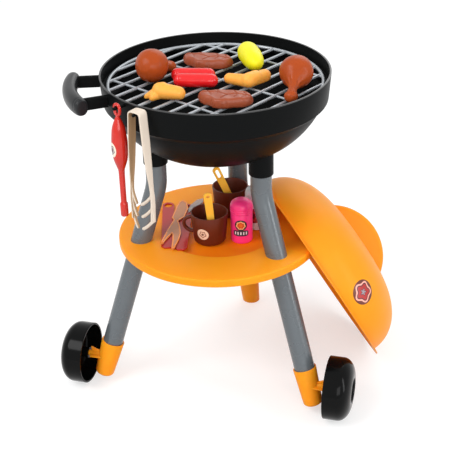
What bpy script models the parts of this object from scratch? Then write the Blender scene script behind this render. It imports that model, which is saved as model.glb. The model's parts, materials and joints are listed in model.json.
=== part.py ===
"""Toy kettle barbecue on three bent legs, with a shelf, two wheels, a lid, play food and small tools.

Metres, +Z up. +X runs along the wheel axle and -Y is the side that faces the user. The pieces are
placed about the bowl's upright axis, and the whole is moved at the end so that the origin is on the
floor under the middle of its bounding box.
"""

import math

import bmesh
import bpy
from mathutils import Matrix, Vector

# Shared clearances and resolution
FIT = 0.0003
HANG_GAP = 0.0004
MERGE = 0.000001
OVERRUN = 0.02
SMOOTH_ANGLE = math.radians(35)
FULL_TURN = 2 * math.pi
ROUND_SEGMENTS = 40
TUBE_SIDES = 16
SMALL_SIDES = 8
BAR_SIDES = 6
WHEEL_SEGMENTS = 32

# Bowl
BOWL_RADIUS = 0.170
RIM_HEIGHT = 0.5175
BOWL_DEPTH = 0.1298
BOWL_WALL = 0.003
BAND_HEIGHT = 0.0405
BAND_LEAN = 0.0035
BAND_STEP_ROUND = 0.0015
RIM_EDGE = 0.0008
DISH_ROUND_SHARE = 0.757
DISH_FLAT_SHARE = 1.137
DISH_STEPS = 9
LEDGE_DROP = 0.0197
LEDGE_WIDTH = 0.0105
LEDGE_THICKNESS = 0.003

# Grate
GRATE_RING_INSET = 0.012
GRATE_RING_RADIUS = BOWL_RADIUS - GRATE_RING_INSET
GRATE_RING_ROD = 0.0025
MAIN_BAR_ROD = 0.00225
CROSS_BAR_ROD = 0.00175
MAIN_BAR_SPACING_SHARE = 0.1595
MAIN_BAR_SPACING = GRATE_RING_RADIUS * MAIN_BAR_SPACING_SHARE
MAIN_BAR_COUNT = 12
MAIN_BAR_SHIFT_SHARE = -0.0348
MAIN_BAR_SHIFT = GRATE_RING_RADIUS * MAIN_BAR_SHIFT_SHARE
CROSS_BAR_SPACING_SHARE = 0.6392
CROSS_BAR_SPACING = GRATE_RING_RADIUS * CROSS_BAR_SPACING_SHARE
CROSS_BAR_COUNT = 3
CROSS_BAR_SHIFT_SHARE = -0.0475
CROSS_BAR_SHIFT = GRATE_RING_RADIUS * CROSS_BAR_SHIFT_SHARE
CROSS_BAR_SINK = 0.0007
GRATE_TURN = math.radians(64)

# Legs and sockets
LEG_RADIUS = 0.016
LEG_WALL = 0.002
LEG_CLEARANCE = 0.0003
LEG_BEND_RADIUS = 0.09
LEG_BEND_STEPS = 3
LEG_TOP_CLEARANCE = 0.001
SOCKET_WALL = 0.0022
SOCKET_LENGTH = 0.0239
FRONT_OFFSET_SHARE = 0.53882
FRONT_LEG_OFFSET = BOWL_RADIUS * FRONT_OFFSET_SHARE
FRONT_BEND_SHARE = 0.66473
FRONT_BEND_HEIGHT = RIM_HEIGHT * FRONT_BEND_SHARE
FRONT_SPLAY = math.radians(18.5)
LEFT_OFFSET_SHARE = 0.56529
LEFT_LEG_OFFSET = BOWL_RADIUS * LEFT_OFFSET_SHARE
REAR_OFFSET_SHARE = 0.68529
REAR_LEG_OFFSET = BOWL_RADIUS * REAR_OFFSET_SHARE
REAR_BEND_SHARE = 0.53527
REAR_BEND_HEIGHT = RIM_HEIGHT * REAR_BEND_SHARE
REAR_SPLAY = math.radians(15.5)
LEFT_AZIMUTH = math.radians(210)
RIGHT_AZIMUTH = math.radians(330)
REAR_AZIMUTH = math.radians(90)

# Screws
LEG_SCREW_SHANK = 0.0015
LEG_SCREW_HEAD = 0.003
LEG_SCREW_HEAD_THICKNESS = 0.0014
AXLE_SCREW_SHANK = 0.0019
AXLE_SCREW_HEAD = 0.0052
AXLE_SCREW_HEAD_THICKNESS = 0.0022
AXLE_SCREW_LENGTH = 0.013
SCREW_RECESS_SHARE = 0.45

# Shelf
SHELF_RADIUS_SHARE = 0.93235
SHELF_RADIUS = BOWL_RADIUS * SHELF_RADIUS_SHARE
SHELF_TOP_SHARE = 0.48889
SHELF_TOP = RIM_HEIGHT * SHELF_TOP_SHARE
SHELF_SKIRT = 0.0124
SHELF_WALL = 0.0025
SHELF_EDGE = 0.0035
WELL_RADIUS_SHARE = 0.57539
WELL_RADIUS = SHELF_RADIUS * WELL_RADIUS_SHARE
WELL_DEPTH = 0.006
WELL_SLOPE = 0.003
LEG_HOLE_CLEARANCE = 0.0004

# Feet
FOOT_WALL = 0.002
FRONT_FOOT_HEIGHT = 0.074
FRONT_FOOT_END_HEIGHT = 0.0145
FOOT_TAPER = 0.003
FOOT_ROUND = 0.006
FRONT_SEAT_DEPTH = 0.0155
REAR_FOOT_HEIGHT = 0.074
REAR_SEAT_DEPTH = 0.024
STUB_RADIUS = 0.005
STUB_BRACKET_WIDTH = 0.022
STUB_BRACKET_THICKNESS = 0.0024
STUB_BRACKET_RISE = 0.013
STUB_BRACKET_GAP = 0.0015

# Wheels
WHEEL_RADIUS = 0.0492
WHEEL_WIDTH = 0.041
WHEEL_STAND_OFF = 0.03025
WHEEL_AHEAD = 0.0039
FRONT_LEG_REACH = FRONT_LEG_OFFSET + (FRONT_BEND_HEIGHT - WHEEL_RADIUS) * math.tan(FRONT_SPLAY)
WHEEL_INNER_FACE = FRONT_LEG_REACH * math.cos(RIGHT_AZIMUTH) + WHEEL_STAND_OFF
WHEEL_AXLE_BACK = FRONT_LEG_REACH * math.sin(RIGHT_AZIMUTH) - WHEEL_AHEAD
LEFT_SPLAY = math.atan((FRONT_LEG_REACH - LEFT_LEG_OFFSET) / (FRONT_BEND_HEIGHT - WHEEL_RADIUS))
WHEEL_WALL = 0.003
WHEEL_TREAD_SHARE = 0.52
WHEEL_FACE_RADIUS = 0.0215
WHEEL_ROUND_STEPS = 5
HUB_RECESS_RADIUS = 0.0176
HUB_RECESS_DEPTH = 0.0105
HUB_LIP = 0.0022
HUB_WALL = 0.0032
HUB_SETBACK = 0.003
AXLE_CLEARANCE = 0.0003

# Handle
HANDLE_AZIMUTH = math.radians(207.6)
HANDLE_DROP = 0.0161
HANDLE_HEIGHT = RIM_HEIGHT - HANDLE_DROP
ARM_SPREAD_AT_BOWL = 0.040
ARM_SPREAD_AT_GRIP = 0.046
ARM_HEIGHT = 0.018
ARM_THICKNESS = 0.0065
ARM_ROUND = 0.0015
GRIP_STAND_OFF = 0.0537
GRIP_OUTER_RADIUS = BOWL_RADIUS + GRIP_STAND_OFF
GRIP_BEND_RADIUS = 0.1513
GRIP_HALF_LENGTH = 0.0581
GRIP_DEPTH = 0.0215
GRIP_HEIGHT = 0.0269
GRIP_END_SHARE = 0.62
GRIP_SECTIONS = 9

# Pegs on the rim band
PEG_RADIUS = 0.0025
PEG_DROP = 0.006
PEG_REACH = 0.0205
TURNER_AZIMUTH = math.radians(238.5)
TONGS_AZIMUTH = math.radians(250)

# Turner
TURNER_OUT = 0.013
TURNER_STAND_OFF = BOWL_RADIUS + TURNER_OUT
TURNER_HANDLE_RADIUS = 0.0115
TURNER_DROP = 0.019
TURNER_HANDLE_TOP = RIM_HEIGHT - TURNER_DROP
TURNER_HANDLE_LENGTH = 0.082
TURNER_NECK_RADIUS = 0.0042
TURNER_NECK_LENGTH = 0.050
TURNER_END_RADIUS = 0.0057
TURNER_END_LENGTH = 0.021
TURNER_LOOP_ROD = 0.0023
TURNER_LOOP_HOLE = 0.0034
TURNER_LOOP_STRETCH = 0.0045

# Tongs
TONGS_OUT = 0.0105
TONGS_STAND_OFF = BOWL_RADIUS + TONGS_OUT
TONGS_STRIP_WIDTH = 0.016
TONGS_STRIP_THICKNESS = 0.0026
TONGS_TOP_HALF_WIDTH = 0.0088
TONGS_TOP_ROUND = 0.0045
TONGS_ARM_LENGTH = 0.166
TONGS_ARM_SPREAD = 0.0085
TONGS_NECK_WIDTH = 0.0075
CLAW_LENGTH = 0.021
CLAW_DROP = 0.018
CLAW_PITCH = 0.0195
CLAW_ROD = 0.0021
CLAW_COUNT = 3

# Lid
LID_OVERHANG = 0.0034
LID_RIM_RADIUS = BOWL_RADIUS + LID_OVERHANG
LID_LIP_WIDTH = 0.009
LID_DOME_RADIUS = LID_RIM_RADIUS - LID_LIP_WIDTH
LID_DOME_DEPTH = 0.083
LID_WALL = 0.0025
LID_LIP_THICKNESS = 0.002
LID_ROUND_SHARE = 0.64
LID_FLAT_SHARE = 1.0
LID_STEPS = 8
LID_LEAN = math.radians(29.3)
LID_AZIMUTH = math.radians(31.5)
LID_REST_GAP = 0.0006
FIN_RADIUS = 0.085
FIN_FOOT_SHARE = 0.55
FIN_SINK_SHARE = 0.09
FIN_END_SHARE = 0.05
FIN_RISE = 0.032
FIN_THICKNESS = 0.013
FIN_TURN = math.radians(57)
FIN_EDGE = 0.003
FIN_STEPS = 10

# Play food
BALL_RADIUS = 0.0245
KNOB_RADIUS = 0.0095
DRUMSTICK_REACH = 0.051
RIGHT_DRUMSTICK_SHARES = (0.7797, -0.0658)
RIGHT_DRUMSTICK_TURN = math.radians(-86)
LEFT_DRUMSTICK_SHARES = (-0.5506, -0.1867)
LEFT_DRUMSTICK_TURN = math.radians(78)
LEFT_DRUMSTICK_DROP = 0.00052
STEAK_LENGTH = 0.077
STEAK_WIDTH = 0.041
STEAK_THICKNESS = 0.0145
SAUSAGE_RADIUS = 0.010
SAUSAGE_LENGTH = 0.065
CORN_RADIUS = 0.0165
CORN_LENGTH = 0.080
WING_RADIUS = 0.0125
BACK_STEAK_SHARES = (-0.1722, 0.3222)
BACK_STEAK_TURN = math.radians(4)
FRONT_STEAK_SHARES = (0.2475, -0.5696)
FRONT_STEAK_TURN = math.radians(8)
BACK_SAUSAGE_SHARES = (-0.1780, -0.1130)
FRONT_SAUSAGE_SHARES = (-0.1160, -0.2440)
SAUSAGE_TURN = math.radians(10.5)
CORN_SHARES = (0.2513, 0.3633)
CORN_TURN = math.radians(-62)
# Each lobe's reach, its turn, and its radius at the joint and at the end, in shares of WING_RADIUS
LEFT_WING_SHARES = (-0.3418, -0.5800)
LEFT_WING_LOBE_SHARES = ((1.60, math.radians(-166), 0.92, 0.44), (2.10, math.radians(5), 0.92, 0.74))
RIGHT_WING_SHARES = (0.3577, -0.1567)
RIGHT_WING_LOBE_SHARES = ((2.62, math.radians(163), 0.70, 0.64), (2.68, math.radians(57), 0.74, 0.72))

# Tableware
MUG_TOP_RADIUS = 0.029
MUG_BOTTOM_RADIUS = 0.0245
MUG_HEIGHT = 0.0494
MUG_WALL = 0.002
MUG_FOOT_ROUND = 0.003
MUG_HANDLE_REACH = 0.017
MUG_HANDLE_HALF_HEIGHT = 0.0125
MUG_HANDLE_ROD = 0.0029
MUG_HANDLE_MIDDLE = 0.028
FRONT_MUG_SHARES = (-0.0442, -0.1893)
FRONT_EAR_TURN = math.radians(190)
BACK_MUG_SHARES = (0.0063, 0.4050)
BACK_EAR_TURN = math.radians(35)
CUTLERY_LENGTH = 0.100
FRONT_LENGTH_SHARE = 0.95
BACK_LENGTH_SHARE = 1.0
CUTLERY_WIDTH = 0.0125
CUTLERY_NARROW_SHARE = 0.8
CUTLERY_THICKNESS = 0.0028
CUTLERY_HOLE = 0.0025
CUTLERY_SLOT = 0.012
CUTLERY_HOLE_SHARE = 0.6
FRONT_CUTLERY_SHARES = (0.0126, -0.2524)
FRONT_CUTLERY_LEAN = (-0.030, -0.185, 0.962)
FRONT_LIFT_SHARE = 0.26
BACK_CUTLERY_SHARES = (0.0915, 0.3672)
BACK_CUTLERY_LEAN = (-0.277, -0.290, 0.911)
BACK_LIFT_SHARE = 0.76
BOTTLE_RADIUS = 0.017
BOTTLE_BODY_HEIGHT = 0.049
BOTTLE_NECK_RADIUS = 0.012
BOTTLE_NECK_HEIGHT = 0.007
BOTTLE_WALL = 0.002
BOTTLE_ROUND = 0.003
CAP_RADIUS = 0.0176
CAP_HEIGHT = 0.021
CAP_DOME_SHARES = ((1.0, 0.45), (0.93, 0.70), (0.68, 0.92), (0.35, 1.0), (0.0, 1.0))
BOTTLE_SHARES = (0.2580, -0.1100)
SHAKER_SHARES = (0.3312, 0.1893)

# Flat utensils on the shelf
UTENSIL_THICKNESS = 0.0024
RED_WIDTH = 0.019
RED_LENGTH = 0.1494
RED_HOLE = 0.0065
FORK_THICKNESS = 0.0022
CLEAR_THICKNESS = 0.0020
RED_BLUNT_SHARE = 0.55
RED_SHOULDER_SHARE = 0.30
RED_HOLE_SHARE = 0.55
# Outlines of the fork, of its hole and of the clear utensil, in shares of SHELF_RADIUS
FORK_OUTLINE_SHARES = ((-0.512, 0.435), (-0.536, 0.395), (-0.539, 0.291), (-0.510, 0.042), (-0.478, 0.004),
                       (-0.476, -0.207), (-0.462, -0.461), (-0.435, -0.487), (-0.430, -0.421),
                       (-0.409, -0.257), (-0.364, -0.398), (-0.324, -0.561), (-0.298, -0.535),
                       (-0.304, -0.384), (-0.324, -0.245), (-0.377, -0.110), (-0.428, -0.004),
                       (-0.389, 0.091), (-0.409, 0.276), (-0.456, 0.388))
FORK_HOLE_SHARES = (-0.480, 0.350)
FORK_HOLE = 0.0036
FORK_HOLE_STRETCH = 2.4
CLEAR_OUTLINE_SHARES = ((-0.382, 0.195), (-0.406, 0.278), (-0.407, 0.352), (-0.376, 0.478), (-0.319, 0.526),
                        (-0.299, 0.438), (-0.345, 0.302))

BLACK = (0.010, 0.010, 0.011)
GREY = (0.175, 0.190, 0.205)
ORANGE = (1.0, 0.350, 0.020)
STEEL = (0.45, 0.46, 0.47)
FINISHES = {
    "black plastic": (BLACK, 0.35, 0.0),
    "gloss black": (BLACK, 0.12, 0.0),
    "grey plastic": (GREY, 0.38, 0.0),
    "orange plastic": (ORANGE, 0.32, 0.0),
    "steel": (STEEL, 0.30, 1.0),
    "grate grey": ((0.33, 0.35, 0.37), 0.35, 0.0),
    "cooked brown": ((0.42, 0.11, 0.035), 0.42, 0.0),
    "sausage red": ((0.80, 0.018, 0.018), 0.22, 0.0),
    "crisp yellow": ((0.95, 0.42, 0.060), 0.38, 0.0),
    "corn yellow": ((0.88, 0.85, 0.020), 0.45, 0.0),
    "tool red": ((0.60, 0.020, 0.012), 0.22, 0.0),
    "beige": ((0.72, 0.62, 0.48), 0.40, 0.0),
    "dark brown": ((0.070, 0.012, 0.006), 0.35, 0.0),
    "cutlery yellow": ((0.82, 0.45, 0.050), 0.35, 0.0),
    "hot pink": ((1.0, 0.035, 0.210), 0.28, 0.0),
    "white": ((0.80, 0.80, 0.80), 0.30, 0.0),
    "utensil red": ((0.52, 0.035, 0.040), 0.25, 0.0),
    "amber": ((0.80, 0.28, 0.040), 0.20, 0.0),
    "smoke": ((0.50, 0.50, 0.50), 0.10, 0.0),
}


def clear_scene():
    """Start from an empty scene."""
    for item in list(bpy.data.objects):
        bpy.data.objects.remove(item, do_unlink=True)


def finish(name, kind):
    """Principled material of one piece."""
    colour, roughness, metallic = FINISHES[kind]
    material = bpy.data.materials.new(name + "_finish")
    material.use_nodes = True
    shader = material.node_tree.nodes["Principled BSDF"]
    shader.inputs["Base Color"].default_value = (*colour, 1.0)
    shader.inputs["Roughness"].default_value = roughness
    shader.inputs["Metallic"].default_value = metallic
    return material


def piece(name, shape, kind, place=None, parent=None):
    """Make an object of a bmesh, with its own material, at its place."""
    mesh = bpy.data.meshes.new(name)
    shape.to_mesh(mesh)
    shape.free()
    mesh.shade_smooth()
    mesh.set_sharp_from_angle(angle=SMOOTH_ANGLE)
    mesh.materials.append(finish(name, kind))
    item = bpy.data.objects.new(name, mesh)
    bpy.context.scene.collection.objects.link(item)
    item.matrix_world = place or Matrix.Identity(4)
    item.parent = parent
    return item


def cutter(name, shape, place=None):
    """Hidden object that only shapes another one."""
    mesh = bpy.data.meshes.new(name)
    shape.to_mesh(mesh)
    shape.free()
    item = bpy.data.objects.new(name, mesh)
    bpy.context.scene.collection.objects.link(item)
    item.matrix_world = place or Matrix.Identity(4)
    item.hide_render = True
    item.display_type = "WIRE"
    return item


def combine(item, other, operation, crossing=False):
    """Cut another object out of this one, or join it on."""
    modifier = item.modifiers.new(operation.title() + "_" + other.name, "BOOLEAN")
    modifier.operation = operation
    modifier.solver = "EXACT"
    modifier.object = other
    modifier.use_self = crossing


def group(name):
    """Empty that carries pieces which belong together."""
    holder = bpy.data.objects.new(name, None)
    bpy.context.scene.collection.objects.link(holder)
    return holder


def clean(shape):
    """Weld the seams and poles and turn the faces outwards."""
    bmesh.ops.remove_doubles(shape, verts=shape.verts, dist=MERGE)
    bmesh.ops.recalc_face_normals(shape, faces=shape.faces)
    return shape


def turned(profile, segments=ROUND_SEGMENTS, closed=False):
    """Turn a profile of (radius, height) points about Z."""
    shape = bmesh.new()
    verts = [shape.verts.new((radius, 0.0, height)) for radius, height in profile]
    edges = [shape.edges.new(pair) for pair in zip(verts, verts[1:])]
    if closed:
        edges.append(shape.edges.new((verts[-1], verts[0])))
    bmesh.ops.spin(shape, geom=verts + edges, cent=(0, 0, 0), axis=(0, 0, 1),
                   angle=FULL_TURN, steps=segments, use_duplicate=False)
    return clean(shape)


def skinned(sections, looped=False):
    """Skin a row of closed sections that have the same number of points."""
    shape = bmesh.new()
    rings = [[shape.verts.new(point) for point in section] for section in sections]
    pairs = list(zip(rings, rings[1:]))
    if looped:
        pairs.append((rings[-1], rings[0]))
    for low, high in pairs:
        for index in range(len(low)):
            after = (index + 1) % len(low)
            shape.faces.new((low[index], low[after], high[after], high[index]))
    if not looped:
        shape.faces.new(list(reversed(rings[0])))
        shape.faces.new(rings[-1])
    return clean(shape)


def plate(outline, thickness):
    """Extrude a flat outline of (x, y) points upwards from z = 0."""
    low = [Vector((x, y, 0.0)) for x, y in outline]
    high = [Vector((x, y, thickness)) for x, y in outline]
    return skinned([low, high])


def rounded_plate(outline, thickness, edge):
    """Plate whose upper and lower edges are softened by a bevel."""
    shape = plate(outline, thickness)
    rims = [e for e in shape.edges if abs(e.verts[0].co.z - e.verts[1].co.z) < MERGE]
    bmesh.ops.bevel(shape, geom=rims, offset=edge, segments=1, profile=0.5, affect="EDGES")
    return clean(shape)


def circle(centre, across, along, radius, sides, stretch=1.0):
    """Points of a circle, or of an ellipse, spanned by two unit vectors."""
    points = []
    for index in range(sides):
        turn = FULL_TURN * index / sides
        points.append(centre + radius * math.cos(turn) * across
                      + radius * stretch * math.sin(turn) * along)
    return points


def rod(start, end, radius, sides=SMALL_SIDES, end_radius=None):
    """Straight rod, or a tapered one, between two points."""
    axis = (end - start).normalized()
    side = axis.orthogonal().normalized()
    other = axis.cross(side)
    sections = [circle(start, side, other, radius, sides),
                circle(end, side, other, radius if end_radius is None else end_radius, sides)]
    return skinned(sections)


def bent_rod(points, radii, normal, sides=SMALL_SIDES, squash=1.0):
    """Rod along points that lie in one plane, whose normal is given."""
    sections = []
    for index, point in enumerate(points):
        before = points[max(index - 1, 0)]
        after = points[min(index + 1, len(points) - 1)]
        along = (after - before).normalized()
        side = normal.cross(along)
        sections.append(circle(point, side, normal, radii[index], sides, squash))
    return skinned(sections)


def capsule_profile(radius, length, steps=3, thin=None):
    """Profile of a rod with round ends, along its axis from end to end."""
    far = thin if thin is not None else radius
    profile = []
    for step in range(steps + 1):
        turn = math.pi / 2 * (1 - step / steps)
        profile.append((radius * math.cos(turn), radius - radius * math.sin(turn)))
    for step in range(steps + 1):
        turn = math.pi / 2 * step / steps
        profile.append((far * math.cos(turn), length - far + far * math.sin(turn)))
    return snapped(profile)


def snapped(profile):
    """Put the profile's two ends exactly on the axis."""
    first, last = profile[0], profile[-1]
    return [(0.0, first[1])] + list(profile[1:-1]) + [(0.0, last[1])]


def around(radius, azimuth, height):
    """Point at a distance from the middle axis."""
    return Vector((radius * math.cos(azimuth), radius * math.sin(azimuth), height))


def turned_to(azimuth, location=(0.0, 0.0, 0.0)):
    """Placement turned about Z."""
    return Matrix.Translation(location) @ Matrix.Rotation(azimuth, 4, "Z")


def aimed(location, axis, across=None):
    """Placement whose Z runs along an axis, with X as near as can be to another direction."""
    up = axis.normalized()
    side = across if across is not None else up.orthogonal()
    side = (side - side.dot(up) * up).normalized()
    third = up.cross(side)
    turn = Matrix((side, third, up)).transposed().to_4x4()
    return Matrix.Translation(location) @ turn


# Bowl

def dish_turn(depth_share):
    """Angle along the dish's curve at a share of its depth."""
    return math.asin(depth_share ** (1 / DISH_FLAT_SHARE))


def dish_height(radius):
    """Height of the dish's underside at a distance from the axis."""
    sine = math.sqrt(1 - (radius / BOWL_RADIUS) ** (2 / DISH_ROUND_SHARE))
    return RIM_HEIGHT - BOWL_DEPTH * sine ** DISH_FLAT_SHARE


def dish_points(radius, depth, start_drop):
    """Points of the dish from its bottom up to a drop below the rim."""
    start = dish_turn(start_drop / depth)
    points = []
    for step in range(DISH_STEPS + 1):
        turn = math.pi / 2 + (start - math.pi / 2) * step / DISH_STEPS
        reach = radius * max(math.cos(turn), 0.0) ** DISH_ROUND_SHARE
        points.append((reach, RIM_HEIGHT - depth * math.sin(turn) ** DISH_FLAT_SHARE))
    return [(0.0, points[0][1])] + points[1:]


def band_radius(height):
    """Outer radius of the leaning rim band."""
    return BOWL_RADIUS - BAND_LEAN * (RIM_HEIGHT - height) / BAND_HEIGHT


def bowl_outside(extra=0.0):
    """Outer profile from the bottom up to the rim, swollen by a clearance."""
    foot = RIM_HEIGHT - BAND_HEIGHT
    foot_radius = BOWL_RADIUS - BAND_LEAN + extra
    dish_drop = BAND_HEIGHT + 4 * BAND_STEP_ROUND + extra
    profile = dish_points(BOWL_RADIUS + extra, BOWL_DEPTH + extra, dish_drop)
    profile.append((foot_radius - BAND_STEP_ROUND, foot - BAND_STEP_ROUND - extra))
    profile.append((foot_radius, foot - extra))
    profile.append((BOWL_RADIUS + extra, RIM_HEIGHT - RIM_EDGE))
    return profile


def make_bowl(parent):
    """Round black kettle with a rim band, a dished floor and a ledge for the grate."""
    foot = RIM_HEIGHT - BAND_HEIGHT
    ledge = RIM_HEIGHT - LEDGE_DROP
    under = ledge - LEDGE_THICKNESS
    profile = bowl_outside()
    profile.append((BOWL_RADIUS - RIM_EDGE, RIM_HEIGHT))
    profile.append((BOWL_RADIUS - BOWL_WALL, RIM_HEIGHT))
    profile.append((band_radius(ledge) - BOWL_WALL, ledge))
    profile.append((band_radius(ledge) - BOWL_WALL - LEDGE_WIDTH, ledge))
    profile.append((band_radius(ledge) - BOWL_WALL - LEDGE_WIDTH, under))
    profile.append((band_radius(under) - BOWL_WALL, under))
    profile.append((band_radius(foot) - BOWL_WALL, foot))
    inside_drop = BAND_HEIGHT + 4 * BAND_STEP_ROUND
    inside = dish_points(BOWL_RADIUS - BOWL_WALL, BOWL_DEPTH - BOWL_WALL, inside_drop)
    profile.extend(reversed(inside))
    return piece("bowl", turned(profile), "black plastic", parent=parent)


def bowl_cutter():
    """The bowl's whole volume, swollen by the fitting gap."""
    profile = bowl_outside(FIT)
    profile.append((BOWL_RADIUS + FIT, RIM_HEIGHT + OVERRUN))
    profile.append((0.0, RIM_HEIGHT + OVERRUN))
    return cutter("bowl_space", turned(profile))


# Legs

def leg_values(azimuth):
    """Distance from the axis, height of the bend and splay of one leg."""
    if azimuth == REAR_AZIMUTH:
        return REAR_LEG_OFFSET, REAR_BEND_HEIGHT, REAR_SPLAY
    if azimuth == LEFT_AZIMUTH:
        return LEFT_LEG_OFFSET, FRONT_BEND_HEIGHT, LEFT_SPLAY
    return FRONT_LEG_OFFSET, FRONT_BEND_HEIGHT, FRONT_SPLAY


def leg_point(azimuth, height):
    """Point of the leg's slanted centre line at a height."""
    offset, bend, splay = leg_values(azimuth)
    return around(offset + (bend - height) * math.tan(splay), azimuth, height)


def leg_direction(azimuth):
    """Direction of the slanted part, upwards."""
    splay = leg_values(azimuth)[2]
    return around(-math.sin(splay), azimuth, math.cos(splay))


def leg_top(azimuth):
    """Top of the leg, just under the bowl."""
    offset = leg_values(azimuth)[0]
    return dish_height(offset - LEG_RADIUS) - LEG_TOP_CLEARANCE


def socket_bottom(azimuth):
    """Lower end of the socket."""
    offset = leg_values(azimuth)[0]
    return dish_height(offset) - SOCKET_LENGTH


def leg_end(azimuth):
    """Lower end of the leg, just off its seat in the foot."""
    height, depth = foot_values(azimuth)
    return leg_point(azimuth, height) - leg_direction(azimuth) * (depth - FIT)


def foot_values(azimuth):
    """Height of the foot's rim and how deep the leg goes in."""
    if azimuth == REAR_AZIMUTH:
        return REAR_FOOT_HEIGHT, REAR_SEAT_DEPTH
    return FRONT_FOOT_HEIGHT, FRONT_SEAT_DEPTH


def leg_path(azimuth):
    """Centre line of a leg in its own upright plane, as (out, up) points, top to bottom."""
    offset, bend, splay = leg_values(azimuth)
    tangent = LEG_BEND_RADIUS * math.tan(splay / 2)
    points = [(offset, leg_top(azimuth))]
    for step in range(LEG_BEND_STEPS + 1):
        turn = splay * step / LEG_BEND_STEPS
        out = offset + LEG_BEND_RADIUS * (1 - math.cos(turn))
        points.append((out, bend + tangent - LEG_BEND_RADIUS * math.sin(turn)))
    end = leg_end(azimuth)
    points.append((math.hypot(end.x, end.y), end.z))
    return points


def pipe_sections(path, radius):
    """Round sections square to a path in the XZ plane."""
    sections = []
    for index, (out, up) in enumerate(path):
        before = path[max(index - 1, 0)]
        after = path[min(index + 1, len(path) - 1)]
        along = Vector((after[0] - before[0], 0.0, after[1] - before[1])).normalized()
        side = Vector((-along.z, 0.0, along.x))
        sections.append(circle(Vector((out, 0.0, up)), side, Vector((0, 1, 0)), radius, TUBE_SIDES))
    return sections


def make_leg(name, azimuth, parent):
    """Bent tube from the socket down into the foot, with a hole for its cross screw."""
    path = leg_path(azimuth)
    outer = pipe_sections(path, LEG_RADIUS)
    inner = pipe_sections(path, LEG_RADIUS - LEG_WALL)
    shape = skinned(outer + list(reversed(inner)), looped=True)
    leg = piece("leg_" + name, shape, "grey plastic", turned_to(azimuth), parent)
    combine(leg, screw_hole(name, azimuth), "DIFFERENCE")
    return leg


def screw_height(azimuth):
    """Height of the cross screw, halfway up the part of the leg that is in the socket."""
    return (socket_bottom(azimuth) + leg_top(azimuth)) / 2


def screw_hole(name, azimuth):
    """Hole through the socket's and the leg's wall on the side of the middle axis."""
    offset = leg_values(azimuth)[0]
    height = screw_height(azimuth)
    start = around(offset - LEG_RADIUS - SOCKET_WALL - OVERRUN, azimuth, height)
    shape = rod(start, around(offset, azimuth, height), LEG_SCREW_SHANK + FIT)
    return cutter("screw_hole_" + name + str(len(bpy.data.objects)), shape)


def make_socket(name, azimuth, space, parent):
    """Black sleeve under the bowl, its top cut to the bowl's underside."""
    offset = leg_values(azimuth)[0]
    bore = LEG_RADIUS + LEG_CLEARANCE
    bottom = socket_bottom(azimuth)
    top = dish_height(offset) + SOCKET_LENGTH / 2
    profile = [(bore, bottom), (bore + SOCKET_WALL, bottom), (bore + SOCKET_WALL, top), (bore, top)]
    place = turned_to(azimuth, around(offset, azimuth, 0.0))
    shape = turned(profile, TUBE_SIDES, closed=True)
    socket = piece("leg_socket_" + name, shape, "black plastic", place, parent)
    combine(socket, space, "DIFFERENCE")
    combine(socket, screw_hole(name, azimuth), "DIFFERENCE")
    return socket


def screw_profile(shank, length, head, thickness):
    """Shank from z = -length to 0 and a head above it with a blind recess."""
    recess = head * SCREW_RECESS_SHARE
    return [(0.0, -length), (shank, -length), (shank, 0.0), (head, 0.0), (head, thickness),
            (recess, thickness), (recess, thickness / 2), (0.0, thickness / 2)]


def make_leg_screw(name, azimuth, parent):
    """Cross screw that holds the leg in its socket."""
    offset = leg_values(azimuth)[0]
    seat = offset - LEG_RADIUS - LEG_CLEARANCE - SOCKET_WALL - FIT
    profile = screw_profile(LEG_SCREW_SHANK, SOCKET_WALL + LEG_WALL + 2 * FIT,
                            LEG_SCREW_HEAD, LEG_SCREW_HEAD_THICKNESS)
    place = aimed(around(seat, azimuth, screw_height(azimuth)), around(-1.0, azimuth, 0.0))
    shape = turned(profile, SMALL_SIDES)
    return piece("leg_screw_" + name, shape, "steel", place, parent)


# Shelf

def make_shelf(azimuths, parent):
    """Round shelf with a skirt, a shallow well in the middle and three slanted leg holes."""
    outer = SHELF_RADIUS
    inner = SHELF_RADIUS - SHELF_WALL
    bottom = SHELF_TOP - SHELF_SKIRT
    floor = SHELF_TOP - WELL_DEPTH
    profile = [
        (0.0, floor), (WELL_RADIUS - WELL_SLOPE, floor), (WELL_RADIUS, SHELF_TOP),
        (outer - SHELF_EDGE, SHELF_TOP), (outer, SHELF_TOP - SHELF_EDGE), (outer, bottom),
        (inner, bottom), (inner, SHELF_TOP - SHELF_WALL), (WELL_RADIUS, SHELF_TOP - SHELF_WALL),
        (WELL_RADIUS - WELL_SLOPE, floor - SHELF_WALL), (0.0, floor - SHELF_WALL),
    ]
    shelf = piece("shelf", turned(profile, ROUND_SEGMENTS + SMALL_SIDES), "orange plastic", parent=parent)
    for azimuth in azimuths:
        middle = leg_point(azimuth, SHELF_TOP)
        reach = leg_direction(azimuth) * OVERRUN
        shape = rod(middle - reach, middle + reach, LEG_RADIUS + LEG_HOLE_CLEARANCE, 2 * TUBE_SIDES)
        combine(shelf, cutter("leg_hole_%d" % round(math.degrees(azimuth)), shape), "DIFFERENCE")
    return shelf


# Feet and wheels

def foot_cup(azimuth, length):
    """Tapered cup round the leg's end, with its rim at z = 0 and its axis along Z."""
    depth = foot_values(azimuth)[1]
    bore = LEG_RADIUS + LEG_CLEARANCE
    outer = bore + FOOT_WALL
    tip = outer - FOOT_TAPER
    profile = [(0.0, -length), (tip - FOOT_ROUND, -length), (tip, -length + FOOT_ROUND),
               (outer, 0.0), (bore, 0.0), (bore, -depth), (0.0, -depth)]
    return turned(profile, TUBE_SIDES)


def stub_end():
    """Where the axle stub ends, inside the wheel's hub."""
    return WHEEL_INNER_FACE + WHEEL_WIDTH - HUB_RECESS_DEPTH - WHEEL_WALL - FIT


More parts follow.
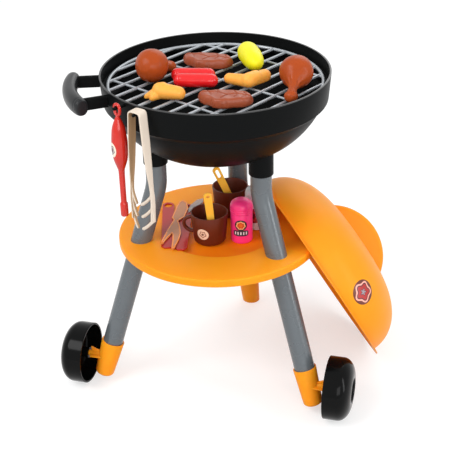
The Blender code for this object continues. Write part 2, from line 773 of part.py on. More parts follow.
def make_front_foot(name, azimuth, parent):
    """Cup on the leg's end with the axle stub, its flat bracket and its upright bracket."""
    sign = math.copysign(1.0, math.cos(azimuth))
    top = leg_point(azimuth, FRONT_FOOT_HEIGHT)
    length = (FRONT_FOOT_HEIGHT - FRONT_FOOT_END_HEIGHT) / math.cos(leg_values(azimuth)[2])
    shape = foot_cup(azimuth, length)
    place = aimed(top, leg_direction(azimuth), around(1.0, azimuth, 0.0))
    foot = piece("foot_" + name, shape, "orange plastic", place, parent)

    root = abs(leg_point(azimuth, WHEEL_RADIUS).x)
    shoulder = WHEEL_INNER_FACE - STUB_BRACKET_GAP
    axle = Vector((0.0, WHEEL_AXLE_BACK, WHEEL_RADIUS))
    reach = Vector((sign, 0.0, 0.0))
    stub = rod(axle + root * reach, axle + stub_end() * reach, STUB_RADIUS, TUBE_SIDES)
    combine(foot, cutter("stub_" + name, stub), "UNION")

    half = STUB_BRACKET_WIDTH / 2
    inner = root + STUB_RADIUS
    corners = [(inner, -half), (shoulder, -half), (shoulder, half), (inner, half)]
    low = [axle + Vector((sign * x, y, -STUB_BRACKET_THICKNESS / 2)) for x, y in corners]
    high = [point + Vector((0.0, 0.0, STUB_BRACKET_THICKNESS)) for point in low]
    combine(foot, cutter("flat_bracket_" + name, skinned([low, high])), "UNION")

    corners = [(inner, 0.0), (shoulder, 0.0), (shoulder, STUB_BRACKET_RISE), (inner, STUB_RADIUS / 2)]
    near = [axle + Vector((sign * x, -STUB_BRACKET_THICKNESS / 2, z)) for x, z in corners]
    far = [point + Vector((0.0, STUB_BRACKET_THICKNESS, 0.0)) for point in near]
    combine(foot, cutter("upright_bracket_" + name, skinned([near, far])), "UNION")

    bore_start = axle + (stub_end() - AXLE_SCREW_LENGTH) * reach
    bore = rod(bore_start, axle + (stub_end() + OVERRUN) * reach, AXLE_SCREW_SHANK + FIT)
    combine(foot, cutter("stub_bore_" + name, bore), "DIFFERENCE")
    return foot


def make_rear_foot(parent):
    """Plain cup whose bottom is cut flat on the floor."""
    top = leg_point(REAR_AZIMUTH, REAR_FOOT_HEIGHT)
    length = REAR_FOOT_HEIGHT / math.cos(REAR_SPLAY) + FOOT_ROUND
    place = aimed(top, leg_direction(REAR_AZIMUTH), around(1.0, REAR_AZIMUTH, 0.0))
    foot = piece("foot_rear", foot_cup(REAR_AZIMUTH, length), "orange plastic", place, parent)
    reach = 4 * LEG_RADIUS
    centre = leg_point(REAR_AZIMUTH, 0.0)
    corners = [(-reach, -reach), (reach, -reach), (reach, reach), (-reach, reach)]
    low = [centre + Vector((x, y, -OVERRUN)) for x, y in corners]
    high = [centre + Vector((x, y, 0.0)) for x, y in corners]
    combine(foot, cutter("floor_cut", skinned([low, high])), "DIFFERENCE")
    return foot


def wheel_profile():
    """Closed profile of the wheel: tread, rounded shoulder, hub recess, hub tube and hollow back."""
    tread = WHEEL_WIDTH * WHEEL_TREAD_SHARE
    floor = WHEEL_WIDTH - HUB_RECESS_DEPTH
    hub_bore = STUB_RADIUS + AXLE_CLEARANCE
    hub_outer = hub_bore + HUB_WALL
    outside = [(WHEEL_RADIUS, 0.0)]
    inside = [(WHEEL_RADIUS - WHEEL_WALL, 0.0)]
    for step in range(WHEEL_ROUND_STEPS + 1):
        turn = math.pi / 2 * step / WHEEL_ROUND_STEPS
        reach = WHEEL_FACE_RADIUS + (WHEEL_RADIUS - WHEEL_FACE_RADIUS) * math.cos(turn)
        outside.append((reach, tread + (WHEEL_WIDTH - tread) * math.sin(turn)))
        inner_reach = WHEEL_FACE_RADIUS + (WHEEL_RADIUS - WHEEL_WALL - WHEEL_FACE_RADIUS) * math.cos(turn)
        inside.append((inner_reach, tread + (WHEEL_WIDTH - WHEEL_WALL - tread) * math.sin(turn)))
    lip = [(HUB_RECESS_RADIUS + HUB_LIP, WHEEL_WIDTH - HUB_LIP / 2),
           (HUB_RECESS_RADIUS, WHEEL_WIDTH - HUB_LIP), (HUB_RECESS_RADIUS, floor)]
    screw_bore = AXLE_SCREW_SHANK + FIT
    hub = [(screw_bore, floor), (screw_bore, floor - WHEEL_WALL), (hub_bore, floor - WHEEL_WALL),
           (hub_bore, HUB_SETBACK), (hub_outer, HUB_SETBACK), (hub_outer, floor - WHEEL_WALL),
           (HUB_RECESS_RADIUS + WHEEL_WALL, floor - WHEEL_WALL),
           (HUB_RECESS_RADIUS + WHEEL_WALL, WHEEL_WIDTH - HUB_LIP - WHEEL_WALL)]
    return outside + lip + hub + list(reversed(inside))


def make_wheel(name, sign, parent):
    """Hollow wheel, open towards the leg, with its origin on the axle."""
    centre = Vector((sign * WHEEL_INNER_FACE, WHEEL_AXLE_BACK, WHEEL_RADIUS))
    place = aimed(centre, Vector((sign, 0.0, 0.0)), Vector((0.0, 0.0, 1.0)))
    shape = turned(wheel_profile(), WHEEL_SEGMENTS, closed=True)
    return piece("wheel_" + name, shape, "gloss black", place, parent)


def make_axle_screw(name, sign, parent):
    """Screw through the hub's floor into the axle stub."""
    seat = WHEEL_INNER_FACE + WHEEL_WIDTH - HUB_RECESS_DEPTH + FIT
    profile = screw_profile(AXLE_SCREW_SHANK, AXLE_SCREW_LENGTH, AXLE_SCREW_HEAD,
                            AXLE_SCREW_HEAD_THICKNESS)
    centre = Vector((sign * seat, WHEEL_AXLE_BACK, WHEEL_RADIUS))
    place = aimed(centre, Vector((sign, 0.0, 0.0)), Vector((0.0, 0.0, 1.0)))
    return piece("axle_screw_" + name, turned(profile, SMALL_SIDES), "steel", place, parent)


# Grate

def grate_height():
    """Height of the grate's rods, lying on the bowl's ledge."""
    return RIM_HEIGHT - LEDGE_DROP + FIT + GRATE_RING_ROD


def bar_ends(offset, turn):
    """Two ends of a bar on the ring's centre line, for a distance from the middle."""
    half = math.sqrt(GRATE_RING_RADIUS ** 2 - offset ** 2)
    along = Vector((math.cos(turn), math.sin(turn), 0.0))
    across = Vector((math.sin(turn), -math.cos(turn), 0.0))
    return across * offset - along * half, across * offset + along * half


def bar_offsets(count, spacing, shift):
    """Distances of a row of bars from the middle."""
    return [(index - (count - 1) / 2) * spacing + shift for index in range(count)]


def make_grate(parent):
    """Ring with twelve main bars and three cross bars, one moulding."""
    height = grate_height()
    bars = bmesh.new()
    rows = [(bar_offsets(MAIN_BAR_COUNT, MAIN_BAR_SPACING, MAIN_BAR_SHIFT), GRATE_TURN,
             MAIN_BAR_ROD, 0.0),
            (bar_offsets(CROSS_BAR_COUNT, CROSS_BAR_SPACING, CROSS_BAR_SHIFT),
             GRATE_TURN - math.pi / 2, CROSS_BAR_ROD, CROSS_BAR_SINK)]
    for offsets, turn, radius, sink in rows:
        for offset in offsets:
            start, end = bar_ends(offset, turn)
            drop = Vector((0.0, 0.0, -sink))
            bar = rod(start + drop, end + drop, radius, BAR_SIDES)
            mesh = bpy.data.meshes.new("bar")
            bar.to_mesh(mesh)
            bar.free()
            bars.from_mesh(mesh)
            bpy.data.meshes.remove(mesh)
    sections = []
    for index in range(ROUND_SEGMENTS):
        turn = FULL_TURN * index / ROUND_SEGMENTS
        outward = Vector((math.cos(turn), math.sin(turn), 0.0))
        sections.append(circle(GRATE_RING_RADIUS * outward, outward, Vector((0, 0, 1)),
                               GRATE_RING_ROD, BAR_SIDES))
    place = Matrix.Translation((0.0, 0.0, height))
    grate = piece("grate", skinned(sections, looped=True), "grate grey", place, parent)
    combine(grate, cutter("grate_bars", bars, place), "UNION", crossing=True)
    return grate


# Handle

def grip_frame():
    """Placement of the handle: X outwards from the bowl, Y along the grip, Z up."""
    return turned_to(HANDLE_AZIMUTH, (0.0, 0.0, HANDLE_HEIGHT))


def grip_sections(extra=0.0):
    """Sections of the bent grip, thinner towards its round ends."""
    middle = GRIP_OUTER_RADIUS - GRIP_DEPTH / 2
    centre = middle - GRIP_BEND_RADIUS
    half_turn = math.asin(GRIP_HALF_LENGTH / GRIP_BEND_RADIUS)
    sections = []
    for index in range(GRIP_SECTIONS):
        share = 2 * index / (GRIP_SECTIONS - 1) - 1
        turn = half_turn * math.sin(share * math.pi / 2)
        outward = Vector((math.cos(turn), math.sin(turn), 0.0))
        swell = GRIP_END_SHARE + (1 - GRIP_END_SHARE) * math.sqrt(1 - share ** 4)
        point = Vector((centre, 0.0, 0.0)) + GRIP_BEND_RADIUS * outward
        half_depth = GRIP_DEPTH / 2 * swell + extra
        half_height = GRIP_HEIGHT / 2 * swell + extra
        sections.append(circle(point, outward, Vector((0, 0, 1)), half_depth,
                               2 * SMALL_SIDES, half_height / half_depth))
    return sections


def make_handle(space, parent):
    """Grip and the two flat arms that join it to the bowl."""
    frame = grip_frame()
    piece("handle_grip", skinned(grip_sections()), "black plastic", frame, parent)
    grip_space = cutter("grip_space", skinned(grip_sections(FIT)), frame)
    reach = GRIP_OUTER_RADIUS - GRIP_DEPTH / 2
    start = BOWL_RADIUS - BOWL_WALL
    for name, sign in (("back", -1), ("front", 1)):
        inner = Vector((math.sqrt(start ** 2 - ARM_SPREAD_AT_BOWL ** 2), sign * ARM_SPREAD_AT_BOWL, 0.0))
        spread = math.asin(ARM_SPREAD_AT_GRIP / GRIP_BEND_RADIUS)
        outer_x = reach - GRIP_BEND_RADIUS * (1 - math.cos(spread))
        outer = Vector((outer_x, sign * ARM_SPREAD_AT_GRIP, 0.0))
        along = (outer - inner).normalized()
        half = ARM_THICKNESS / 2
        rise = ARM_HEIGHT / 2
        outline = [(-half, ARM_ROUND - rise), (ARM_ROUND - half, -rise), (half - ARM_ROUND, -rise),
                   (half, ARM_ROUND - rise), (half, rise - ARM_ROUND), (half - ARM_ROUND, rise),
                   (ARM_ROUND - half, rise), (-half, rise - ARM_ROUND)]
        side = Vector((0, 0, 1)).cross(along)
        rings = []
        for point in (inner, outer):
            rings.append([point + x * side + Vector((0.0, 0.0, z)) for x, z in outline])
        arm = piece("handle_arm_" + name, skinned(rings), "black plastic", frame, parent)
        combine(arm, space, "DIFFERENCE")
        combine(arm, grip_space, "DIFFERENCE")


# Hanging tools

def peg_height():
    """Height of the pegs' centre line."""
    return RIM_HEIGHT - PEG_DROP


def make_peg(name, azimuth, space, parent):
    """Short peg on the rim band that a tool hangs on."""
    start = around(BOWL_RADIUS - BOWL_WALL, azimuth, peg_height())
    end = around(BOWL_RADIUS + PEG_REACH, azimuth, peg_height())
    peg = piece(name, rod(start, end, PEG_RADIUS), "black plastic", parent=parent)
    combine(peg, space, "DIFFERENCE")
    return peg


def make_turner(parent):
    """Turner that hangs by the loop over its fat handle, on its peg."""
    frame = turned_to(TURNER_AZIMUTH, around(TURNER_STAND_OFF, TURNER_AZIMUTH, 0.0))
    top = TURNER_HANDLE_TOP
    neck_top = top - TURNER_HANDLE_LENGTH
    end_top = neck_top - TURNER_NECK_LENGTH
    bottom = end_top - TURNER_END_LENGTH
    handle_shares = [(0.0, 0.25), (0.06, 0.45), (0.20, 0.80), (0.40, 0.97), (0.60, 1.0),
                     (0.78, 0.86), (0.92, 0.55), (1.0, 0.40)]
    profile = [(0.0, top + TURNER_LOOP_ROD)]
    for drop_share, radius_share in handle_shares:
        profile.append((TURNER_HANDLE_RADIUS * radius_share, top - drop_share * TURNER_HANDLE_LENGTH))
    profile.append((TURNER_NECK_RADIUS, end_top))
    profile.append((TURNER_END_RADIUS, end_top - TURNER_NECK_RADIUS / 2))
    profile.append((TURNER_END_RADIUS, bottom))
    profile.append((0.0, bottom))
    turner = piece("turner", turned(profile, TUBE_SIDES - 4), "tool red", frame, parent)

    hole = TURNER_LOOP_HOLE
    ring = hole + TURNER_LOOP_ROD
    middle = peg_height() + PEG_RADIUS + HANG_GAP - hole
    loop_sections = []
    sides = TUBE_SIDES - 4
    for index in range(sides):
        turn = FULL_TURN * index / sides
        outward = Vector((0.0, math.cos(turn), math.sin(turn)))
        stretch = Vector((0.0, 0.0, -TURNER_LOOP_STRETCH if outward.z < 0 else 0.0))
        point = Vector((0.0, 0.0, middle)) + ring * outward + stretch
        loop_sections.append(circle(point, outward, Vector((1, 0, 0)), TURNER_LOOP_ROD, SMALL_SIDES))
    combine(turner, cutter("turner_loop", skinned(loop_sections, looped=True), frame), "UNION")
    return turner


def tongs_top():
    """Height of the strip's underside, resting on its peg."""
    return peg_height() + PEG_RADIUS + FIT


def strip_sections(path, widths, thickness):
    """Flat sections along a path in the YZ plane; the width lies along X."""
    sections = []
    for index, point in enumerate(path):
        before = path[max(index - 1, 0)]
        after = path[min(index + 1, len(path) - 1)]
        along = (after - before).normalized()
        side = Vector((1, 0, 0))
        outward = side.cross(along)
        half = widths[index] / 2
        sections.append([point - half * side, point + half * side,
                         point + half * side + thickness * outward,
                         point - half * side + thickness * outward])
    return sections


def tongs_arm(sign):
    """Arm from the middle of the bent top down to the claws, in the tongs' frame."""
    top = tongs_top()
    half = TONGS_TOP_HALF_WIDTH
    path = [Vector((0.0, sign * 0.0, top))]
    for share in (0.0, 0.5, 1.0):
        turn = math.pi / 2 * share
        path.append(Vector((0.0, sign * (half - TONGS_TOP_ROUND * (1 - math.sin(turn))),
                            top - TONGS_TOP_ROUND * (1 - math.cos(turn)))))
    spread_shares = [(0.25, 0.25, 1.0), (0.50, 0.60, 0.78), (0.66, 0.85, 0.5), (0.80, 1.0, 0.52),
                     (1.0, 0.80, 0.60)]
    widths = [TONGS_STRIP_WIDTH] * 4
    for length_share, spread_share, width_share in spread_shares:
        path.append(Vector((0.0, sign * (half + spread_share * TONGS_ARM_SPREAD),
                            top - length_share * TONGS_ARM_LENGTH)))
        widths.append(max(TONGS_STRIP_WIDTH * width_share, TONGS_NECK_WIDTH))
    return path, widths


def claw_shape(sign, index, length):
    """One claw that curls from the arm's inner side down and inwards."""
    top = tongs_top()
    start_height = top - TONGS_ARM_LENGTH + (CLAW_COUNT - 1 - index) * CLAW_PITCH + CLAW_ROD
    out = TONGS_TOP_HALF_WIDTH + TONGS_ARM_SPREAD
    points = []
    radii = []
    for share in (0.0, 0.3, 0.65, 1.0):
        inwards = length * share
        drop = CLAW_DROP * share ** 0.7
        points.append(Vector((0.0, sign * (out - inwards), start_height - drop)))
        radii.append(CLAW_ROD * (1.0 if share < 1 else 0.85))
    return bent_rod(points, radii, Vector((1, 0, 0)))


def make_tongs(parent):
    """Springy tongs: one strip bent over its peg, an arm on each side, claws at the ends."""
    frame = turned_to(TONGS_AZIMUTH, around(TONGS_STAND_OFF, TONGS_AZIMUTH, 0.0))
    right_path, right_widths = tongs_arm(1)
    left_path, left_widths = tongs_arm(-1)
    path = list(reversed(left_path[1:])) + right_path[1:]
    widths = list(reversed(left_widths[1:])) + right_widths[1:]
    shape = skinned(strip_sections(path, widths, TONGS_STRIP_THICKNESS))
    tongs = piece("tongs", shape, "beige", frame, parent)
    for sign, side, length in ((1, "right", CLAW_LENGTH), (-1, "left", CLAW_LENGTH / 2)):
        for index in range(CLAW_COUNT):
            claw = cutter("claw_%s_%d" % (side, index), claw_shape(sign, index, length), frame)
            combine(tongs, claw, "UNION")
    return tongs


# Lid

def lid_profile():
    """Dome from the middle of its top out to the lip, then back inside; the opening faces -Z."""
    outside = []
    inside = []
    for step in range(LID_STEPS + 1):
        turn = math.pi / 2 * (1 - step / LID_STEPS)
        reach = max(math.cos(turn), 0.0) ** LID_ROUND_SHARE if step else 0.0
        rise = math.sin(turn) ** LID_FLAT_SHARE
        outside.append((LID_DOME_RADIUS * reach, LID_LIP_THICKNESS
                        + (LID_DOME_DEPTH - LID_LIP_THICKNESS) * rise))
        inside.append(((LID_DOME_RADIUS - LID_WALL) * reach, (LID_DOME_DEPTH - LID_WALL) * rise))
    lip = [(LID_RIM_RADIUS, LID_LIP_THICKNESS), (LID_RIM_RADIUS, 0.0)]
    return outside + lip + list(reversed(inside))


def lid_axis():
    """Direction from the lid's opening to its top."""
    return around(math.cos(LID_LEAN), LID_AZIMUTH, math.sin(LID_LEAN))


def lid_stands_clear(distance):
    """Whether the lid's inner rim misses the shelf's edge at this distance from the axis."""
    inner = LID_DOME_RADIUS - LID_WALL
    low = SHELF_TOP - SHELF_SKIRT
    rows = ROUND_SEGMENTS * SMALL_SIDES
    for index in range(rows):
        turn = FULL_TURN * index / rows
        for depth in (0.0, LID_WALL, 4 * LID_WALL):
            out = distance + depth * math.cos(LID_LEAN) - inner * math.sin(turn) * math.sin(LID_LEAN)
            height = (LID_RIM_RADIUS + inner * math.sin(turn)) * math.cos(LID_LEAN)
            height += depth * math.sin(LID_LEAN)
            edge = SHELF_RADIUS - max(height - SHELF_TOP + SHELF_EDGE, 0.0)
            if low < height < SHELF_TOP and math.hypot(out, inner * math.cos(turn)) < edge + LID_REST_GAP:
                return False
    return True


def lid_distance():
    """Distance of the rim's centre from the axis where the lid just leans on the shelf."""
    near, far = 0.0, SHELF_RADIUS + LID_RIM_RADIUS
    while far - near > FIT / 4:
        middle = (near + far) / 2
        if lid_stands_clear(middle):
            far = middle
        else:
            near = middle
    return far


def make_lid(parent):
    """Orange lid that leans on the shelf's edge, one moulding with its half round fin."""
    centre = around(lid_distance(), LID_AZIMUTH, LID_RIM_RADIUS * math.cos(LID_LEAN))
    across = Vector((-math.sin(LID_AZIMUTH), math.cos(LID_AZIMUTH), 0.0))
    place = aimed(centre, lid_axis(), across)
    segments = ROUND_SEGMENTS + SMALL_SIDES
    lid = piece("lid", turned(lid_profile(), segments), "orange plastic", place, parent)

    middle = LID_DOME_DEPTH + FIN_RISE - FIN_RADIUS
    half_turn = math.acos((LID_DOME_DEPTH * (1 - FIN_END_SHARE) - middle) / FIN_RADIUS)
    outline = []
    for step in range(FIN_STEPS + 1):
        turn = half_turn * (1 - 2 * step / FIN_STEPS)
        outline.append((FIN_RADIUS * math.sin(turn), middle + FIN_RADIUS * math.cos(turn)))
    foot = LID_DOME_DEPTH * (1 - FIN_SINK_SHARE) - LID_WALL / 2
    outline.append((-FIN_RADIUS * FIN_FOOT_SHARE, foot))
    outline.append((FIN_RADIUS * FIN_FOOT_SHARE, foot))
    fin = rounded_plate(outline, FIN_THICKNESS, FIN_EDGE)
    upright = Matrix.Rotation(math.pi / 2, 4, "X")
    centred = Matrix.Translation((0.0, FIN_THICKNESS / 2, 0.0))
    combine(lid, cutter("lid_fin", fin, place @ Matrix.Rotation(FIN_TURN, 4, "Z") @ centred @ upright),
            "UNION")
    return lid


# Play food

def rest_height(x, y, radius):
    """Height of a ball's centre when it lies on the grate's main bars."""
    across = x * math.sin(GRATE_TURN) - y * math.cos(GRATE_TURN)
    offsets = bar_offsets(MAIN_BAR_COUNT, MAIN_BAR_SPACING, MAIN_BAR_SHIFT)
    nearest = min(abs(across - offset) for offset in offsets)
    reach = radius + MAIN_BAR_ROD + FIT
    return grate_height() + math.sqrt(max(reach ** 2 - nearest ** 2, 0.0))


def on_grate(place_shares):
    """Place on the grate, from shares of its ring's radius."""
    return place_shares[0] * GRATE_RING_RADIUS, place_shares[1] * GRATE_RING_RADIUS


def food_floor():
    """Height of the highest point of the rods that food lies on."""
    return grate_height() + GRATE_RING_ROD + FIT


def make_drumstick(name, place_shares, azimuth, drop, parent):
    """Round drumstick with a short bone and a knob, its ball and its knob on the bars."""
    x, y = on_grate(place_shares)
    start = Vector((x, y, rest_height(x, y, BALL_RADIUS) - drop))
    knob_x = x + DRUMSTICK_REACH * math.cos(azimuth)
    knob_y = y + DRUMSTICK_REACH * math.sin(azimuth)
    end = Vector((knob_x, knob_y, rest_height(knob_x, knob_y, KNOB_RADIUS) - drop))
    shares = [(-0.480, 0.0), (-0.42, 0.48), (-0.25, 0.85), (0.0, 1.0), (0.20, 0.90), (0.38, 0.62),
              (0.55, 0.36), (0.74, 0.25), (0.86, 0.28)]
    profile = [(share_r * BALL_RADIUS, share_z * DRUMSTICK_REACH) for share_z, share_r in shares]
    length = (end - start).length
    knob_shares = [(-0.45, 0.80), (0.0, 1.0), (0.55, 0.80), (0.95, 0.0)]
    profile += [(share_r * KNOB_RADIUS, length + share_z * KNOB_RADIUS) for share_z, share_r in knob_shares]
    shape = turned(snapped(profile), TUBE_SIDES - 4)
    return piece("drumstick_" + name, shape, "cooked brown", aimed(start, end - start), parent)


STEAK_OUTLINE_SHARES = [(-0.50, 0.06), (-0.46, 0.30), (-0.26, 0.44), (0.02, 0.46), (0.30, 0.38),
                        (0.48, 0.14), (0.49, -0.14), (0.32, -0.34), (0.04, -0.52), (-0.20, -0.46),
                        (-0.38, -0.26)]


def make_steak(name, place_shares, azimuth, parent):
    """Flat steak with softened edges, lying across the bars."""
    rows = [(0.0, 0.90), (0.22, 1.0), (0.70, 1.0), (1.0, 0.86)]
    sections = []
    for height_share, size_share in rows:
        sections.append([Vector((STEAK_LENGTH * size_share * px, STEAK_WIDTH * size_share * py,
                                 STEAK_THICKNESS * height_share)) for px, py in STEAK_OUTLINE_SHARES])
    x, y = on_grate(place_shares)
    place = turned_to(azimuth, (x, y, food_floor()))
    return piece("steak_" + name, skinned(sections), "cooked brown", place, parent)


def lying(place_shares, azimuth, radius, length):
    """Placement of a round piece that lies flat, with its middle at x, y."""
    along = Vector((math.cos(azimuth), math.sin(azimuth), 0.0))
    x, y = on_grate(place_shares)
    start = Vector((x, y, food_floor() + radius)) - along * length / 2
    return aimed(start, along)


def make_sausage(name, place_shares, azimuth, parent):
    """Round ended sausage."""
    profile = capsule_profile(SAUSAGE_RADIUS, SAUSAGE_LENGTH)
    place = lying(place_shares, azimuth, SAUSAGE_RADIUS, SAUSAGE_LENGTH)
    return piece("sausage_" + name, turned(profile, TUBE_SIDES - 4), "sausage red", place, parent)


def make_corn(place_shares, azimuth, parent):
    """Corn cob, thickest near its back end."""
    shares = [(0.0, 0.0), (0.02, 0.36), (0.10, 0.74), (0.24, 0.97), (0.40, 1.0), (0.60, 0.97),
              (0.80, 0.84), (0.94, 0.56), (1.0, 0.0)]
    profile = [(CORN_RADIUS * share_r, CORN_LENGTH * share_z) for share_z, share_r in shares]
    place = lying(place_shares, azimuth, CORN_RADIUS, CORN_LENGTH)
    return piece("corn", turned(profile, TUBE_SIDES - 4), "corn yellow", place, parent)


def make_wing(name, place_shares, lobe_shares, parent):
    """Wing of two tapered lobes that start from one joint."""
    wing = None
    x, y = on_grate(place_shares)
    for index, (reach_share, azimuth, joint_share, end_share) in enumerate(lobe_shares):
        reach, radius, thin = (share * WING_RADIUS for share in (reach_share, joint_share, end_share))
        profile = capsule_profile(radius, radius + reach + thin, thin=thin)
        axis = around(reach, azimuth, thin - radius).normalized()
        start = Vector((x, y, food_floor() + radius)) - axis * radius
        place = aimed(start, axis)
        shape = turned(profile, TUBE_SIDES - 4)
        if wing is None:
            wing = piece("wing_" + name, shape, "crisp yellow", place, parent)
        else:
            combine(wing, cutter("wing_lobe_%s_%d" % (name, index), shape, place), "UNION")
    return wing


# Tableware

def mug_radius(height):
    """Outer radius of the mug at a height above its foot."""
    return MUG_BOTTOM_RADIUS + (MUG_TOP_RADIUS - MUG_BOTTOM_RADIUS) * height / MUG_HEIGHT


def on_shelf(place_shares):
    """Place on the shelf, from shares of its radius."""
    return place_shares[0] * SHELF_RADIUS, place_shares[1] * SHELF_RADIUS


def well_floor():
    """Height at which things stand in the shelf's well."""
    return SHELF_TOP - WELL_DEPTH + FIT


def make_mug(name, place_shares, azimuth, parent):
    """Flared mug with an ear; the ear points along the azimuth."""
    profile = [(0.0, 0.0), (MUG_BOTTOM_RADIUS - MUG_FOOT_ROUND, 0.0),
               (mug_radius(MUG_FOOT_ROUND), MUG_FOOT_ROUND), (MUG_TOP_RADIUS, MUG_HEIGHT),
               (MUG_TOP_RADIUS - MUG_WALL, MUG_HEIGHT),
               (mug_radius(MUG_FOOT_ROUND) - MUG_WALL, MUG_WALL + MUG_FOOT_ROUND),
               (MUG_BOTTOM_RADIUS - MUG_WALL - MUG_FOOT_ROUND, MUG_WALL), (0.0, MUG_WALL)]
    x, y = on_shelf(place_shares)
    place = turned_to(azimuth, (x, y, well_floor()))
    mug = piece("mug_" + name, turned(profile, TUBE_SIDES + 4), "dark brown", place, parent)
    reach = MUG_HANDLE_REACH - MUG_HANDLE_ROD
    points = []
    for share in (-1.0, -0.72, -0.38, 0.0, 0.38, 0.72, 1.0):
        turn = math.pi / 2 * share
        height = MUG_HANDLE_MIDDLE + MUG_HANDLE_HALF_HEIGHT * math.sin(turn)
        out = mug_radius(height) + reach * math.cos(turn)
        points.append(Vector((out, 0.0, height)))
    for index, inner in ((0, points[0]), (len(points), points[-1])):
        points.insert(index, Vector((mug_radius(inner.z) - MUG_WALL / 2, 0.0, inner.z)))
    points[1].x = mug_radius(points[1].z) + MUG_HANDLE_ROD
    points[-2].x = mug_radius(points[-2].z) + MUG_HANDLE_ROD
    radii = [MUG_HANDLE_ROD] * len(points)
    ear = bent_rod(points, radii, Vector((0, -1, 0)), squash=1.3)
    combine(mug, cutter("mug_ear_" + name, ear, place), "UNION")
    return mug


CUTLERY_VIEW = Vector((-0.24, 0.84, -0.48))


def make_cutlery(name, place_shares, length_share, lift_share, lean, slot, parent):
    """Flat strip that stands in a mug, with a hole near its top."""
    half = CUTLERY_WIDTH / 2
    low = half * CUTLERY_NARROW_SHARE
    corner = half / 2
    length = CUTLERY_LENGTH * length_share
    outline = [(-low, 0.0), (low, 0.0), (half, length - half), (half - corner / 3, length - corner),
               (corner, length), (-corner, length), (corner / 3 - half, length - corner),
               (-half, length - half)]
    x, y = on_shelf(place_shares)
    foot = Vector((x, y, well_floor() + MUG_WALL + FIT + CUTLERY_THICKNESS * lift_share))
    axis = Vector(lean).normalized()
    across = axis.cross(CUTLERY_VIEW).normalized()
    flat = Matrix.Rotation(math.pi / 2, 4, "X")
    centred = Matrix.Translation((0.0, CUTLERY_THICKNESS / 2, 0.0))
    place = aimed(foot, axis, across)
    shape = plate(outline, CUTLERY_THICKNESS)
    strip = piece("cutlery_" + name, shape, "cutlery yellow", place @ centred @ flat, parent)
    hole = [Vector((px, -OVERRUN, length - CUTLERY_HOLE_SHARE * CUTLERY_WIDTH + py)) for px, py in slot]
    far = [point + Vector((0.0, 2 * OVERRUN, 0.0)) for point in hole]
    combine(strip, cutter("cutlery_hole_" + name, skinned([hole, far]), place), "DIFFERENCE")
    return strip


def round_slot(radius, stretch):
    """Outline of a hole, stretched downwards into a slot."""
    points = []
    for index in range(SMALL_SIDES):
        turn = FULL_TURN * (index + 0.5) / SMALL_SIDES
        drop = -stretch if math.sin(turn) < 0 else 0.0
        points.append((radius * math.cos(turn), radius * math.sin(turn) + drop))
    return points


def make_bottle(name, kind, place_shares, parent):
    """Bottle body with an open neck, and the domed cap over it."""
    body = BOTTLE_BODY_HEIGHT
    neck_top = body + BOTTLE_NECK_HEIGHT
    profile = [(0.0, 0.0), (BOTTLE_RADIUS - BOTTLE_ROUND, 0.0), (BOTTLE_RADIUS, BOTTLE_ROUND),
               (BOTTLE_RADIUS, body), (BOTTLE_NECK_RADIUS, body), (BOTTLE_NECK_RADIUS, neck_top),
               (BOTTLE_NECK_RADIUS - BOTTLE_WALL, neck_top),
               (BOTTLE_NECK_RADIUS - BOTTLE_WALL, body - BOTTLE_WALL),
               (BOTTLE_RADIUS - BOTTLE_WALL, body - BOTTLE_WALL - BOTTLE_ROUND),
               (BOTTLE_RADIUS - BOTTLE_WALL, BOTTLE_WALL), (0.0, BOTTLE_WALL)]
    x, y = on_shelf(place_shares)
    place = Matrix.Translation((x, y, well_floor()))
    piece(name, turned(profile, TUBE_SIDES), kind, place, parent)
    bore = BOTTLE_NECK_RADIUS + FIT
    roof = BOTTLE_NECK_HEIGHT + FIT
    cap_profile = [(0.0, roof), (bore, roof), (bore, 0.0), (CAP_RADIUS, 0.0)]
    cap_profile += [(share_r * CAP_RADIUS, share_z * CAP_HEIGHT) for share_r, share_z in CAP_DOME_SHARES]
    cap_place = Matrix.Translation((x, y, well_floor() + body + FIT))
    piece(name + "_cap", turned(cap_profile, TUBE_SIDES), kind, cap_place, parent)


# Flat utensils

def utensil_floor():
    """Height of the lowest layer of flat utensils."""
    return SHELF_TOP + FIT


RED_TIP_SHARES = (-0.3752, -0.5204)
RED_TURN = math.radians(107.3)
SECOND_TIP_SHARES = (-0.2401, -0.5287)
SECOND_TURN = math.radians(103.0)


def red_outline():
    """Blunt tip at the origin, straight sides and a round end, along +X."""
    half = RED_WIDTH / 2
    shoulder = RED_WIDTH * RED_SHOULDER_SHARE
    points = [(0.0, -half * RED_BLUNT_SHARE), (shoulder, -half)]
    for step in range(5):
        turn = -math.pi / 2 + math.pi * step / 4
        points.append((RED_LENGTH - half + half * math.cos(turn), half * math.sin(turn)))
    points += [(shoulder, half), (0.0, half * RED_BLUNT_SHARE)]
    return points


def make_red_utensil(name, tip_shares, turn, parent):
    """Flat red utensil with a round hole at its far end."""
    x, y = on_shelf(tip_shares)
    place = turned_to(turn, (x, y, utensil_floor()))
    shape = plate(red_outline(), UTENSIL_THICKNESS)
    item = piece("red_utensil_" + name, shape, "utensil red", place, parent)
    centre = Vector((RED_LENGTH - RED_WIDTH * RED_HOLE_SHARE, 0.0, -OVERRUN))
    hole = rod(centre, centre + Vector((0.0, 0.0, 2 * OVERRUN)), RED_HOLE, TUBE_SIDES - 4)
    combine(item, cutter("red_hole_" + name, hole, place), "DIFFERENCE")
    return item


